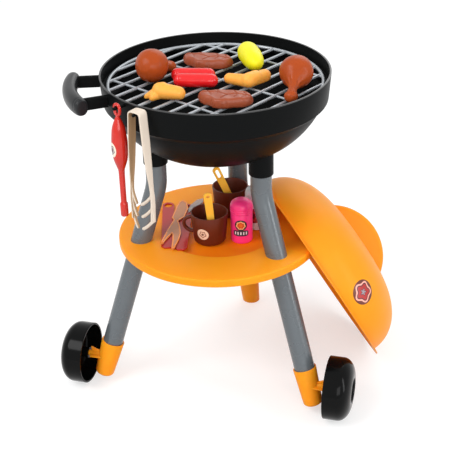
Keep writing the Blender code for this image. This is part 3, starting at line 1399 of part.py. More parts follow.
def make_fork(parent):
    """Flat fork with two splayed tines and a slot in its handle, lying on the red utensils."""
    floor = utensil_floor() + UTENSIL_THICKNESS + FIT
    outline = [on_shelf(place) for place in FORK_OUTLINE_SHARES]
    place = Matrix.Translation((0.0, 0.0, floor))
    fork = piece("fork", plate(outline, FORK_THICKNESS), "amber", place, parent)
    centre = Vector((*on_shelf(FORK_HOLE_SHARES), -OVERRUN))
    low = circle(centre, Vector((1, 0, 0)), Vector((0, 1, 0)), FORK_HOLE, SMALL_SIDES, FORK_HOLE_STRETCH)
    high = [point + Vector((0.0, 0.0, 2 * OVERRUN)) for point in low]
    combine(fork, cutter("fork_hole", skinned([low, high]), place), "DIFFERENCE")
    return fork


def make_clear_utensil(parent):
    """Clear flat utensil, its one side on the second red one."""
    floor = utensil_floor() + UTENSIL_THICKNESS + FIT
    outline = [on_shelf(place) for place in CLEAR_OUTLINE_SHARES]
    place = Matrix.Translation((0.0, 0.0, floor))
    return piece("clear_utensil", plate(outline, CLEAR_THICKNESS), "smoke", place, parent)


def centre_footprint():
    """Move everything so that the middle of the footprint is at the origin."""
    graph = bpy.context.evaluated_depsgraph_get()
    low = Vector((math.inf, math.inf))
    high = Vector((-math.inf, -math.inf))
    for item in bpy.data.objects:
        if item.type != "MESH" or item.hide_render:
            continue
        shaped = item.evaluated_get(graph)
        mesh = shaped.to_mesh()
        for vertex in mesh.vertices:
            point = item.matrix_world @ vertex.co
            low = Vector((min(low.x, point.x), min(low.y, point.y)))
            high = Vector((max(high.x, point.x), max(high.y, point.y)))
        shaped.to_mesh_clear()
    middle = (low + high) / 2
    for item in bpy.data.objects:
        if item.parent is None:
            item.location -= Vector((middle.x, middle.y, 0.0))


def main():
    """Build every piece."""
    clear_scene()
    frame = group("grill_frame")
    wheels = group("rolling_wheels")
    food = group("loose_food")
    tools = group("loose_tools")
    table = group("loose_tableware")
    space = bowl_cutter()

    make_bowl(frame)
    for name, azimuth in (("left", LEFT_AZIMUTH), ("right", RIGHT_AZIMUTH), ("rear", REAR_AZIMUTH)):
        make_socket(name, azimuth, space, frame)
        make_leg(name, azimuth, frame)
        make_leg_screw(name, azimuth, frame)
    make_shelf((LEFT_AZIMUTH, RIGHT_AZIMUTH, REAR_AZIMUTH), frame)
    make_front_foot("left", LEFT_AZIMUTH, frame)
    make_front_foot("right", RIGHT_AZIMUTH, frame)
    make_rear_foot(frame)
    for name, sign in (("left", -1), ("right", 1)):
        make_wheel(name, sign, wheels)
        make_axle_screw(name, sign, frame)
    make_handle(space, frame)
    make_peg("peg_turner", TURNER_AZIMUTH, space, frame)
    make_peg("peg_tongs", TONGS_AZIMUTH, space, frame)
    make_grate(food)
    make_lid(frame)
    make_turner(tools)
    make_tongs(tools)

    make_drumstick("right", RIGHT_DRUMSTICK_SHARES, RIGHT_DRUMSTICK_TURN, 0.0, food)
    make_drumstick("left", LEFT_DRUMSTICK_SHARES, LEFT_DRUMSTICK_TURN, LEFT_DRUMSTICK_DROP, food)
    make_steak("back", BACK_STEAK_SHARES, BACK_STEAK_TURN, food)
    make_steak("front", FRONT_STEAK_SHARES, FRONT_STEAK_TURN, food)
    make_sausage("back", BACK_SAUSAGE_SHARES, SAUSAGE_TURN, food)
    make_sausage("front", FRONT_SAUSAGE_SHARES, SAUSAGE_TURN, food)
    make_corn(CORN_SHARES, CORN_TURN, food)
    make_wing("left", LEFT_WING_SHARES, LEFT_WING_LOBE_SHARES, food)
    make_wing("right", RIGHT_WING_SHARES, RIGHT_WING_LOBE_SHARES, food)

    make_mug("front", FRONT_MUG_SHARES, FRONT_EAR_TURN, table)
    make_mug("back", BACK_MUG_SHARES, BACK_EAR_TURN, table)
    make_cutlery("front", FRONT_CUTLERY_SHARES, FRONT_LENGTH_SHARE, FRONT_LIFT_SHARE, FRONT_CUTLERY_LEAN,
                 round_slot(CUTLERY_HOLE, 0.0), table)
    make_cutlery("back", BACK_CUTLERY_SHARES, BACK_LENGTH_SHARE, BACK_LIFT_SHARE, BACK_CUTLERY_LEAN,
                 round_slot(CUTLERY_HOLE, CUTLERY_SLOT), table)
    make_bottle("sauce_bottle", "hot pink", BOTTLE_SHARES, table)
    make_bottle("shaker", "white", SHAKER_SHARES, table)
    make_red_utensil("outer", RED_TIP_SHARES, RED_TURN, table)
    make_red_utensil("inner", SECOND_TIP_SHARES, SECOND_TURN, table)
    make_fork(table)
    make_clear_utensil(table)
    centre_footprint()


main()
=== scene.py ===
"""Toy kettle barbecue with its play food and small tools, dressed on the fixed frame of CAD bodies."""
import json
import math

import bmesh
import bpy
import numpy as np
from bpy.props import FloatVectorProperty, IntProperty, PointerProperty
from mathutils import Matrix, Vector


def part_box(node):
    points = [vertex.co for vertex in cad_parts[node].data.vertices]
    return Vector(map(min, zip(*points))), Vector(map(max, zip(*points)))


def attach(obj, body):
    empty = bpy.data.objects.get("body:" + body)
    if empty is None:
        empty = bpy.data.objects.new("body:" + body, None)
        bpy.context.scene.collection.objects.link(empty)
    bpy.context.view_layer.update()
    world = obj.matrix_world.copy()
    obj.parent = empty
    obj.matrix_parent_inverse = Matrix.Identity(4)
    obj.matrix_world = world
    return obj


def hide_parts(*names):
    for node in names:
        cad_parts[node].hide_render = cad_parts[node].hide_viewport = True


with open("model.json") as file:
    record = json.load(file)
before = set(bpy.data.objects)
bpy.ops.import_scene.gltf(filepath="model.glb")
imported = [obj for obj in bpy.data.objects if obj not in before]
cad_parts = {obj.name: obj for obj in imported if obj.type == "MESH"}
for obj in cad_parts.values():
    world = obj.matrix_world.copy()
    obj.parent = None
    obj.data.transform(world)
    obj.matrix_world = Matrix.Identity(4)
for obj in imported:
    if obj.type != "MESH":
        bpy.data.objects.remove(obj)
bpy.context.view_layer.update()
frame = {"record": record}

bl_info = {"name": "Toy kettle barbecue", "version": (1, 0, 0), "blender": (4, 5, 0),
    "location": "View3D > Sidebar > Barbecue",
    "description": "Builds the visible pieces of a toy kettle barbecue on its CAD frame",
    "category": "Object",}

SHADER = "Principled BSDF"
NODE_STEP = 220
GLOSS_CHANGE = 0.08
FLOOR_WHITE = 0.52
FLOOR_LIFT = 0.55
SURROUND_GREY = 0.68
# The photograph's view: lens in millimetres, place about the axis, then turn, rise and roll in degrees
LENS = 87.17
CAMERA_PLACE = (0.42276, -1.44696, 1.08083)
CAMERA_TURN = (15.9545, 28.6355, -1.4333)
TURN = 2 * math.pi
LOW, HIGH = (np.array(corner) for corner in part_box("bowl"))
AXIS = np.array([(LOW[0] + HIGH[0]) / 2, (LOW[1] + HIGH[1]) / 2, 0.0])
NODE_SLOTS = {part["node"]: part["material_slot"] for part in frame["record"]["subparts"]}

# Lengths of the CAD part that the visible pieces follow, in metres about the bowl's axis
RIM = 0.5175
BOWL_R = 0.170
BAND = 0.0405
DISH_DEPTH = 0.1298
DISH_POWERS = (0.757, 1.137)
WALL = 0.003
GRATE_Z = 0.5006
GRATE_R = 0.158
GRATE_TURN = math.radians(64)
LEG_R = 0.016
SHELF_Z = 0.253
SHELF_R = 0.1585
WELL_R = 0.0912
WHEEL_R = 0.0492
WHEEL_X = 0.195
WHEEL_Y = -0.09902
WHEEL_W = 0.041
HUB_FLOOR = 0.0305
GRIP_TURN = math.radians(207.6)
GRIP_BEND = 0.1513
GRIP_MIDDLE = 0.21295
HANDLE_DROP = 0.0161
TURNER_TURN = math.radians(238.5)
TONGS_TURN = math.radians(250)
TURNER_REACH = 0.183
TONGS_REACH = 0.1805
LID_TURN = math.radians(31.5)
LID_LEAN = math.radians(29.3)
LID_DISTANCE = 0.164937
FOOD_Z = 0.5034
WELL_Z = 0.2473
# Height of the rim's top band whose faces carry a painted highlight
RIM_HIGHLIGHT_BAND = 0.0009
PEG_Z = RIM - 0.006
WELL_DEPTH = 0.006
LEG_BEND = 0.09
SOCKET_DEPTH = 0.0239
BAR_PITCH = 0.0252
BAR_SHIFT = -0.0055
RING_THICK = 0.0025
BAR_THICK = 0.00225
CROSS_THICK = 0.00175
CROSS_PITCH = 0.101
CROSS_SHIFT = -0.0075
CROSS_SINK = -0.0007
BAR_PLACES = (np.arange(12) - 5.5) * BAR_PITCH + BAR_SHIFT
DRUM_R = 0.0245
DRUM_REACH = 0.051
KNOB_R = 0.0095
LID_R = 0.1734
LID_DEPTH = 0.083
FIN_R = 0.085
FIN_RISE = 0.030
# Lengths of the visible surfaces alone: air under a loose piece, weld distance, and small steps
GAP = 0.0003
WELD = 1e-6
PROBE = 0.0002
GROOVE_WIDTH = 0.0011
VOXEL = 0.0008
# Each leg's turn, distance from the axis, height of its bend, splay and lower end
LEGS = {
    "left": (math.radians(210), 0.0961, 0.344, math.radians(17.71), 0.0596),
    "right": (math.radians(330), 0.0916, 0.344, math.radians(18.5), 0.0596),
    "rear": (math.radians(90), 0.1165, 0.277, math.radians(15.5), 0.0512),
}


# Surfaces, each an array of points and an array of faces

def grid(points, rows_close=False, columns_close=True):
    """Quads between neighbouring rows and columns of points; a closed way joins its last to its first."""
    rows, columns = points.shape[:2]
    index = np.arange(rows * columns).reshape(rows, columns)
    low = index if rows_close else index[:-1]
    high = np.roll(index, -1, 0) if rows_close else index[1:]
    if columns_close:
        faces = np.stack((low, np.roll(low, -1, 1), np.roll(high, -1, 1), high), -1)
    else:
        faces = np.stack((low[:, :-1], low[:, 1:], high[:, 1:], high[:, :-1]), -1)
    return points.reshape(-1, 3), faces.reshape(-1, 4)


def circle(steps):
    """Angles at equal steps round a whole turn."""
    return np.linspace(0, TURN, steps, endpoint=False)


def signed_power(wave, power):
    """Power of a sine or cosine that keeps its sign."""
    return np.sign(wave) * np.abs(wave) ** power


def turned(profile, segments=96):
    """Surface of revolution: x, y = radius * cosine and sine of the angle, z = height, along the profile."""
    profile = np.asarray(profile, float)
    angle = circle(segments)
    radius, height = profile[:, :1], profile[:, 1:]
    points = np.stack((radius * np.cos(angle), radius * np.sin(angle), height + 0 * angle), -1)
    return grid(points)


def corner(x, z, wide, high, steps, first=0.0, last=1.0):
    """Part of an ellipse: x + wide * cosine, z + high * sine, from first to last in quarter turns."""
    angle = np.linspace(first, last, steps) * math.pi / 2
    return np.stack((x + wide * np.cos(angle), z + high * np.sin(angle)), 1)


def curve_through(points, steps=8):
    """Catmull-Rom curve: each span is the cubic whose end slopes are half the neighbours' chord."""
    points = np.asarray(points, float)
    padded = np.concatenate((2 * points[:1] - points[1:2], points, 2 * points[-1:] - points[-2:-1]))
    return np.concatenate((cubic_spans(padded, steps), points[-1:]))


def loop_through(points, steps=8):
    """The same cubic spans round a closed outline."""
    points = np.asarray(points, float)
    return cubic_spans(np.concatenate((points[-1:], points, points[:2])), steps)


def cubic_spans(padded, steps):
    """Points at equal parameter steps on every span between padded[1] and padded[-2]."""
    t = np.linspace(0, 1, steps, endpoint=False)[None, :, None]
    a, b, c, d = (padded[i:len(padded) - 3 + i, None] for i in range(4))
    spans = 0.5 * (2 * b + (c - a) * t + (2 * a - 5 * b + 4 * c - d) * t ** 2 + (3 * b - a - 3 * c + d)
        * t ** 3)
    return spans.reshape(-1, padded.shape[1])


def sweep(path, normal, wide, thick, sides=24, power=1.0):
    """Section carried along a path in a plane: across = wide * |cos|^power, normal = thick * |sin|^power."""
    path = np.asarray(path, float)
    normal = np.asarray(normal, float)
    along = np.gradient(path, axis=0)
    along /= np.linalg.norm(along, axis=1, keepdims=True)
    across = np.cross(normal, along)
    angle = circle(sides)
    cosine, sine = signed_power(np.cos(angle), power), signed_power(np.sin(angle), power)
    wide = np.broadcast_to(np.asarray(wide, float), len(path))[:, None, None]
    thick = np.broadcast_to(np.asarray(thick, float), len(path))[:, None, None]
    points = path[:, None] + wide * cosine[None, :, None] * across[:, None]
    points = points + thick * sine[None, :, None] * normal
    first, last = (np.repeat(end.mean(1, keepdims=True), sides, 1) for end in (points[:1], points[-1:]))
    return grid(np.concatenate((first, points, last)))


def rounded_ends(path, radius, steps=6):
    """Path and radii with half round ends: the radius falls as the root of one minus distance squared."""
    path = np.asarray(path, float)
    radius = np.broadcast_to(np.asarray(radius, float), len(path)).copy()
    angle = np.linspace(math.pi / 2, 0, steps, endpoint=False)[:, None]
    start = (path[0] - path[1]) / np.linalg.norm(path[0] - path[1])
    end = (path[-1] - path[-2]) / np.linalg.norm(path[-1] - path[-2])
    head = path[0] + start * radius[0] * np.sin(angle)
    tail = path[-1] + end * radius[-1] * np.sin(angle[::-1])
    radii = np.concatenate((radius[0] * np.cos(angle[:, 0]), radius, radius[-1] * np.cos(angle[::-1, 0])))
    return np.concatenate((head, path, tail)), radii


def rounded_wall(thickness, edge, steps):
    """Insets and heights up a plate's wall: edge * (1 - cos) inwards, edge * (1 - sin) from either face."""
    angle = np.linspace(0, math.pi / 2, steps + 1)
    shrink, rise = edge * (1 - np.cos(angle)), edge * (1 - np.sin(angle))
    return np.concatenate((shrink[::-1], shrink)), np.concatenate((rise[::-1], thickness - rise))


def levelled(rings, heights):
    """Flat rings lifted to their heights."""
    return np.concatenate((rings, np.broadcast_to(heights[:, None, None], rings.shape[:2] + (1,))), -1)


def slab(outline, thickness, edge, steps=3):
    """Flat plate with rounded edges: rings of the inset outline between two flat faces."""
    outline = np.asarray(outline, float)
    shrinks, heights = rounded_wall(thickness, edge, steps)
    points = levelled(outline[None] + shrinks[:, None, None] * inward_normals(outline)[None], heights)
    verts, faces = grid(points)
    count = len(outline)
    last = np.arange(count) + (len(points) - 1) * count
    return verts, [*faces.tolist(), list(range(count))[::-1], last.tolist()]


def holed_slab(outline, hole, thickness, edge, steps=3):
    """Plate with one hole: a closed strip up the outer wall, over the top, down the hole and back below."""
    outline, hole = (np.asarray(points, float) for points in (outline, hole))
    shrinks, heights = rounded_wall(thickness, edge, steps)
    outer = outline[None] + shrinks[:, None, None] * inward_normals(outline)[None]
    inner = hole[None] - shrinks[::-1, None, None] * inward_normals(hole)[None]
    points = levelled(np.concatenate((outer, inner)), np.concatenate((heights, heights[::-1])))
    return grid(points, rows_close=True)


def inward_normals(outline):
    """Unit vectors into a closed outline: the chord of the two neighbours, turned a quarter."""
    chord = np.roll(outline, -1, 0) - np.roll(outline, 1, 0)
    area = np.sum(outline[:, 0] * np.roll(outline[:, 1], -1) - outline[:, 1] * np.roll(outline[:, 0], -1))
    normal = np.stack((-chord[:, 1], chord[:, 0]), 1) * np.sign(area)
    return normal / np.maximum(np.linalg.norm(normal, axis=1, keepdims=True), 1e-9)


def patch(profile, turn, along, half_wide, half_high, power=1.0, proud=0.00018, sunk=0.0004):
    """Sticker on a turned surface: angle = turn + x / radius, and y runs back down along the profile.

    Its outline is half width * |cos|^power by half height * |sin|^power; it is closed inside the wall.
    """
    profile = np.asarray(profile, float)
    arc = np.concatenate(([0], np.cumsum(np.linalg.norm(np.diff(profile, axis=0), axis=1))))
    share = np.array([0, 0.15, 0.3, 0.45, 0.6, 0.75, 0.9, 0.985, 1.0, 1.0, 0.0])[:, None]
    lift = np.array([proud] * 8 + [0.6 * proud, -sunk, -sunk])[:, None]
    angle = circle(72)[None]
    x = half_wide * share * signed_power(np.cos(angle), power)
    y = half_high * share * signed_power(np.sin(angle), power)
    place = along - y
    radius, height = (np.interp(place, arc, part) for part in profile.T)
    fall, rise = (np.interp(place + PROBE, arc, part) - np.interp(place - PROBE, arc, part)
                  for part in profile.T)
    length = np.hypot(fall, rise)
    middle = np.interp(along, arc, profile[:, 0])
    around = turn + x / middle
    radius = radius - lift * rise / length
    height = height + lift * fall / length
    surface = grid(np.stack((radius * np.cos(around), radius * np.sin(around), height), -1))
    return surface, np.stack((x / half_wide, y / half_high), -1).reshape(-1, 2)


def placed(surface, location=(0, 0, 0), x=(1, 0, 0), z=(0, 0, 1)):
    """Surface moved so that its z and, as near as can be, its x lie along the two directions given."""
    z = np.asarray(z, float) / np.linalg.norm(z)
    x = np.asarray(x, float) - np.dot(x, z) * z
    x /= np.linalg.norm(x)
    return surface[0] @ np.stack((x, np.cross(z, x), z)) + np.asarray(location, float), surface[1]


def out(turn, radius=1.0, height=0.0):
    """Point or direction at an angle round the bowl's axis."""
    return np.array([radius * math.cos(turn), radius * math.sin(turn), height])


def add_piece(name, surfaces, material, body, nodes=(), crease=35.0, uv=None, slot=None):
    """Object from surfaces: seams and poles are welded, faces turned outwards, and it rides on its body."""
    verts, faces, start = [], [], 0
    for points, quads in surfaces:
        verts.append(points)
        rows = quads.tolist() if isinstance(quads, np.ndarray) else quads
        faces.extend([index + start for index in face] for face in rows)
        start += len(points)
    mesh = bpy.data.meshes.new(name)
    mesh.from_pydata((np.concatenate(verts) + AXIS).tolist(), [], faces)
    if uv is not None:
        layer = mesh.uv_layers.new(name="Print")
        corners = np.empty(len(mesh.loops), dtype=np.int32)
        mesh.loops.foreach_get("vertex_index", corners)
        layer.data.foreach_set("uv", np.asarray(uv, float)[corners].ravel())
    shape = bmesh.new()
    shape.from_mesh(mesh)
    bmesh.ops.remove_doubles(shape, verts=shape.verts, dist=WELD)
    bmesh.ops.dissolve_degenerate(shape, edges=shape.edges, dist=WELD / 10)
    bmesh.ops.recalc_face_normals(shape, faces=shape.faces)
    shape.to_mesh(mesh)
    shape.free()
    mesh.shade_smooth()
    mesh.set_sharp_from_angle(angle=math.radians(crease))
    mesh.materials.append(skin(material) if isinstance(material, str) else material)
    piece = bpy.data.objects.new(name, mesh)
    bpy.context.scene.collection.objects.link(piece)
    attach(piece, body)
    if nodes:
        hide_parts(*nodes)
        slot = slot or NODE_SLOTS[nodes[0]]
    return piece


def toy(name, part, surfaces, material, **more):
    """Piece of a loose toy: it rides on the toy's body and stands for the toy's node."""
    return add_piece(name + "_" + part, surfaces, material, name + "_body", (name,), **more)


def face_values(piece, key):
    """Normal or center of every face, as rows of x, y and z."""
    values = np.empty(3 * len(piece.data.polygons))
    piece.data.polygons.foreach_get(key, values)
    return values.reshape(-1, 3)


def paint(piece, material, chosen):
    """Give the chosen faces a second material."""
    piece.data.materials.append(skin(material))
    piece.data.polygons.foreach_set("material_index", chosen.astype(np.int32))


def flat_shading(piece):
    """Weight the normals by face area, so wide flat faces stay flat between rounded edges."""
    modifier = piece.modifiers.new("Face weighted normals", "WEIGHTED_NORMAL")
    modifier.keep_sharp = True


# Materials

def step(operation, *inputs):
    """Row's kind, settings and inputs for a Math node."""
    return "ShaderNodeMath", {"operation": operation}, dict(enumerate(inputs))


def wired(tree, rows):
    """Nodes from rows of key, kind, settings, inputs: a (key, output) pair is a link, the rest are values."""
    made = {item.name: item for item in tree.nodes}
    for column, (key, kind, settings, inputs) in enumerate(rows):
        if kind:
            made[key] = tree.nodes.new(kind)
            made[key].location = (NODE_STEP * (column - len(rows)), -NODE_STEP * (column % 3))
            for name, value in settings.items():
                setattr(made[key], name, value)
        for socket, value in inputs.items():
            if isinstance(value, tuple) and isinstance(value[0], str):
                tree.links.new(made[value[0]].outputs[value[1]], made[key].inputs[socket])
            else:
                made[key].inputs[socket].default_value = value
    return made


def material_from(name, rows):
    """Material of a name, made once from its rows of nodes, and its nodes by key when it is new."""
    known = bpy.data.materials.get(name)
    if known:
        return known, None
    material = bpy.data.materials.new(name)
    material.use_nodes = True
    return material, wired(material.node_tree, rows)


def skin_group():
    """Moulded skin: a broad noise mixes two colours and shifts the gloss, a fine noise raises the grain."""
    name = "Moulded skin"
    if name in bpy.data.node_groups:
        return bpy.data.node_groups[name]
    tree = bpy.data.node_groups.new(name, "ShaderNodeTree")
    for label, way, kind in (("Colour", "INPUT", "Color"), ("Shade", "INPUT", "Color"),
                             ("Blotch size", "INPUT", "Float"),
                             ("Grain size", "INPUT", "Float"), ("Roughness", "INPUT", "Float"),
                             ("Colour", "OUTPUT", "Color"), ("Roughness", "OUTPUT", "Float"),
                             ("Height", "OUTPUT", "Float")):
        tree.interface.new_socket(label, in_out=way, socket_type="NodeSocket" + kind)
    noise = "ShaderNodeTexNoise"
    wired(tree, [
        ("start", "NodeGroupInput", {}, {}),
        ("place", "ShaderNodeTexCoord", {}, {}),
        ("broad", noise, {}, {"Detail": 3.0, "Vector": ("place", "Object"),
                              "Scale": ("start", "Blotch size")}),
        ("fine", noise, {}, {"Detail": 2.0, "Vector": ("place", "Object"),
                             "Scale": ("start", "Grain size")}),
        ("mix", "ShaderNodeMix", {"data_type": "RGBA"},
         {"Factor": ("broad", "Fac"), "A": ("start", "Colour"), "B": ("start", "Shade")}),
        ("shift", *step("MULTIPLY_ADD", ("broad", "Fac"), GLOSS_CHANGE, -GLOSS_CHANGE / 2)),
        ("gloss", *step("ADD", ("shift", "Value"), ("start", "Roughness"))),
        ("end", "NodeGroupOutput", {},
         {"Colour": ("mix", "Result"), "Roughness": ("gloss", "Value"), "Height": ("fine", "Fac")})])
    return tree


def moulded(name, colour, shade=None, roughness=0.35, blotch=40.0, grain=900.0, relief=0.00003, **plain):
    """Moulded plastic on Object coordinates; plain values go straight to the shader's own sockets."""
    shade = shade or tuple(0.86 * part for part in colour)
    plain = {socket.replace("_", " "): value for socket, value in plain.items()}
    return material_from(name, [
        ("skin", "ShaderNodeGroup", {"node_tree": skin_group()},
         {"Colour": (*colour, 1), "Shade": (*shade, 1), "Blotch size": blotch, "Grain size": grain,
          "Roughness": roughness}),
        ("bump", "ShaderNodeBump", {}, {"Strength": 1.0, "Distance": relief, "Height": ("skin", "Height")}),
        (SHADER, None, {}, {"Base Color": ("skin", "Colour"), "Roughness": ("skin", "Roughness"),
                            "Normal": ("bump", "Normal"), **plain})])[0]


# Moulded skins: colour or the user's key, shade or None, roughness, blotch size, specular level, the rest
BLACK, ORANGE, STEEL = "Satin black plastic", "Satin orange plastic", "Plated steel"
SKINS = {
    BLACK: ("bowl_black", None, 0.38, 25, 0.04, {}),
    ORANGE: ("orange", (1.0, 0.305, 0.010), 0.42, 14, 0.14,
        dict(relief=0.00002, Subsurface_Weight=0.25, Subsurface_Scale=0.012)),
    # Lighter black of the rim's top faces: a painted highlight
    "Polished black rim": ((0.030, 0.030, 0.031), None, 0.30, 60, 0.5, dict(relief=0.00001)),
    "Silver grey plastic": ((0.47, 0.50, 0.53), (0.39, 0.42, 0.45), 0.30, 60, 0.5, dict(Metallic=0.3)),
    "Satin grip black": ((0.015, 0.016, 0.018), (0.011, 0.012, 0.013), 0.30, 40, 0.25,
        dict(relief=0.00004)),
    "Satin grey tube": ("leg_grey", None, 0.27, 30, 0.5, dict(relief=0.000006, Metallic=0.2)),
    STEEL: ((0.52, 0.53, 0.55), None, 0.3, 300, 0.5, dict(relief=0.00001, Metallic=1.0)),
    # Deeper orange inside the well: painted shade of the recess
    "Deep orange well": ((1.0, 0.235, 0.005), (1.0, 0.205, 0.004), 0.45, 14, 0.12,
        dict(relief=0.00002, Subsurface_Weight=0.25, Subsurface_Scale=0.012)),
    "Gloss black plastic": ((0.0030, 0.0031, 0.0032), None, 0.13, 20, 0.10, dict(relief=0.00002)),
    "Cooked brown plastic": ("meat_brown", (0.33, 0.050, 0.009), 0.28, 55, 0.14,
        dict(grain=500, relief=0.00012)),
    "Grilled brown plastic": ((0.380, 0.085, 0.034), (0.26, 0.048, 0.017), 0.33, 110, 0.3,
        dict(grain=420, relief=0.00015)),
    "Gloss red plastic": ("sausage_red", (0.70, 0.008, 0.010), 0.2, 60, 0.35,
        dict(Coat_Weight=0.2, Coat_Roughness=0.1)),
    "Corn yellow plastic": ((0.92, 0.90, 0.012), (0.82, 0.76, 0.006), 0.40, 120, 0.3,
        dict(grain=700, relief=0.0001, Subsurface_Weight=0.1, Subsurface_Scale=0.002)),
    "Crisp yellow plastic": ((1.0, 0.490, 0.090), (0.97, 0.350, 0.040), 0.40, 70, 0.3,
        dict(grain=420, relief=0.00014, Subsurface_Weight=0.1, Subsurface_Scale=0.002)),
    "Tool red plastic": ((0.66, 0.022, 0.010), (0.56, 0.014, 0.007), 0.15, 50, 0.5, {}),
    "Beige plastic": ((0.76, 0.66, 0.56), (0.70, 0.59, 0.48), 0.42, 30, 0.25, {}),
    # Darker tan of the tongs' inner faces: painted shade
    "Tan inner face": ((0.46, 0.30, 0.165), (0.38, 0.235, 0.125), 0.45, 30, 0.2, {}),
    "Hot pink plastic": ((1.0, 0.050, 0.250), (0.96, 0.034, 0.200), 0.3, 60, 0.3,
        dict(Subsurface_Weight=0.12, Subsurface_Scale=0.002)),
    "White plastic": ((0.78, 0.78, 0.79), None, 0.3, 60, 0.5, {}),
    "Dark brown plastic": ((0.130, 0.020, 0.006), (0.105, 0.015, 0.005), 0.36, 60, 0.25, {}),
    "Cutlery yellow plastic": ((1.0, 0.560, 0.065), (0.92, 0.460, 0.045), 0.34, 90, 0.3,
        dict(Subsurface_Weight=0.15, Subsurface_Scale=0.003)),
    "Utensil red plastic": ((0.50, 0.016, 0.012), (0.40, 0.012, 0.010), 0.24, 70, 0.4, {}),
    "Amber plastic": ((0.62, 0.26, 0.110), (0.48, 0.18, 0.080), 0.22, 70, 0.4, {}),
    "Fork rim orange": ((0.98, 0.30, 0.030), (0.90, 0.22, 0.020), 0.24, 90, 0.4, {}),
    "Clear plastic": ((0.66, 0.62, 0.60), None, 0.12, 70, 0.5,
        dict(relief=0.00002, Transmission_Weight=0.6)),
}


def skin(name):
    """Moulded plastic from its row of the table."""
    colour, shade, roughness, blotch, level, more = SKINS[name]
    if isinstance(colour, str):
        colour = tuple(getattr(colours(), colour))
    return moulded(name, colour, shade, roughness, blotch, Specular_IOR_Level=level, **more)


UV_ROWS = [("print", "ShaderNodeUVMap", {"uv_map": "Print"}, {}), ("split", "ShaderNodeSeparateXYZ", {},
        {0: ("print", "UV")})]


def printed(name, bands, ground, roughness=0.35, petals=12, wave_size=0.035):
    """Round print: colour bands by the distance from the middle of the Print UV map, waved by a sine."""
    material, made = material_from(name, UV_ROWS + [
        ("length", "ShaderNodeVectorMath", {"operation": "LENGTH"}, {0: ("print", "UV")}),
        ("angle", *step("ARCTAN2", ("split", "Y"), ("split", "X"))),
        ("spokes", *step("MULTIPLY", ("angle", "Value"), petals)),
        ("wave", *step("SINE", ("spokes", "Value"))),
        ("ripple", *step("MULTIPLY_ADD", ("wave", "Value"), wave_size, ("length", "Value"))),
        ("ramp", "ShaderNodeValToRGB", {}, {"Fac": ("ripple", "Value")}),
        (SHADER, None, {}, {"Base Color": ("ramp", "Color"), "Roughness": roughness})])
    if made:
        ramp = made["ramp"].color_ramp
        ramp.interpolation = "CONSTANT"
        ramp.elements[0].color = (*bands[0][1], 1)
        ramp.elements[1].color = (*ground, 1)
        for position, colour in bands[1:]:
            ramp.elements.new(position).color = (*colour, 1)
    return material


def ticked(name, ink, ground):
    """Bar of plain upright ticks from a cosine of the Print UV map's x, cut off on all four sides."""
    ticks, high, wide = 9.0, 0.5, 0.8
    return material_from(name, UV_ROWS + [
        ("turn", *step("MULTIPLY", ("split", "X"), ticks * math.pi / (2 * wide))),
        ("wave", *step("COSINE", ("turn", "Value"))),
        ("upright", *step("GREATER_THAN", ("wave", "Value"), 0.1)),
        ("size", *step("ABSOLUTE", ("split", "Y"))),
        ("within", *step("LESS_THAN", ("size", "Value"), high)),
        ("reach", *step("ABSOLUTE", ("split", "X"))),
        ("inside", *step("LESS_THAN", ("reach", "Value"), wide)),
        ("both", *step("MULTIPLY", ("upright", "Value"), ("within", "Value"))),
        ("inked", *step("MULTIPLY", ("both", "Value"), ("inside", "Value"))),
        ("mix", "ShaderNodeMix", {"data_type": "RGBA"},
         {"A": (*ground, 1), "B": (*ink, 1), "Factor": ("inked", "Value")}),
        (SHADER, None, {}, {"Base Color": ("mix", "Result"), "Roughness": 0.35})])[0]


def colours():
    """The user's colours."""
    return bpy.context.scene.barbecue_colours


# Shapes shared by several pieces

def dish_z(radius):
    """Height of the bowl's curved underside: rim - depth * sine^b where radius = R * cosine^a."""
    cosine = np.clip(radius / BOWL_R, 0, 1) ** (1 / DISH_POWERS[0])
    return RIM - DISH_DEPTH * np.sqrt(1 - cosine ** 2) ** DISH_POWERS[1]


def dish_profile(radius, depth, drop, steps=40):
    """Bowl's curve from the bottom up to a drop below the rim: R * cosine^a, rim - depth * sine^b."""
    start = math.asin((drop / depth) ** (1 / DISH_POWERS[1]))
    angle = np.linspace(math.pi / 2, start, steps)
    reach = radius * np.clip(np.cos(angle), 0, 1) ** DISH_POWERS[0]
    reach[0] = 0
    return np.stack((reach, RIM - depth * np.sin(angle) ** DISH_POWERS[1]), 1)


def leg_line(name, steps=24):
    """Centre line of a bent leg: straight down, an arc of the bend's radius, then straight at the splay."""
    turn, offset, bend, splay, end = LEGS[name]
    tangent = LEG_BEND * math.tan(splay / 2)
    angle = np.linspace(0, splay, steps)
    arc = np.stack((offset + LEG_BEND * (1 - np.cos(angle)), bend + tangent - LEG_BEND * np.sin(angle)), 1)
    top = np.array([[offset, float(dish_z(offset - LEG_R)) - 0.001]])
    low = np.array([[offset + (bend - end) * math.tan(splay), end]])
    line = np.concatenate((top, arc, low))
    return np.stack((line[:, 0] * math.cos(turn), line[:, 0] * math.sin(turn), line[:, 1]), 1)


def leg_axis(name):
    """Direction of a leg's splayed part, upwards."""
    turn, _, _, splay, _ = LEGS[name]
    return out(turn, -math.sin(splay), math.cos(splay))


def tint(name, description, default):
    """Colour setting in linear light."""
    return FloatVectorProperty(name=name, description=description, subtype="COLOR", size=3, min=0, max=1,
        default=default)


class BarbecueColours(bpy.types.PropertyGroup):
    """Colours a user would change, in linear light."""

    bowl_black: tint("Bowl black", "Colour of bowl, handle and sockets", (0.0055, 0.0060, 0.0062))
    orange: tint("Orange", "Colour of shelf, feet and lid", (1.0, 0.345, 0.014))
    leg_grey: tint("Leg grey", "Colour of the three legs", (0.130, 0.147, 0.160))
    meat_brown: tint("Meat brown", "Colour of drumsticks and steaks", (0.430, 0.074, 0.014))
    sausage_red: tint("Sausage red", "Colour of the sausages", (0.760, 0.014, 0.018))


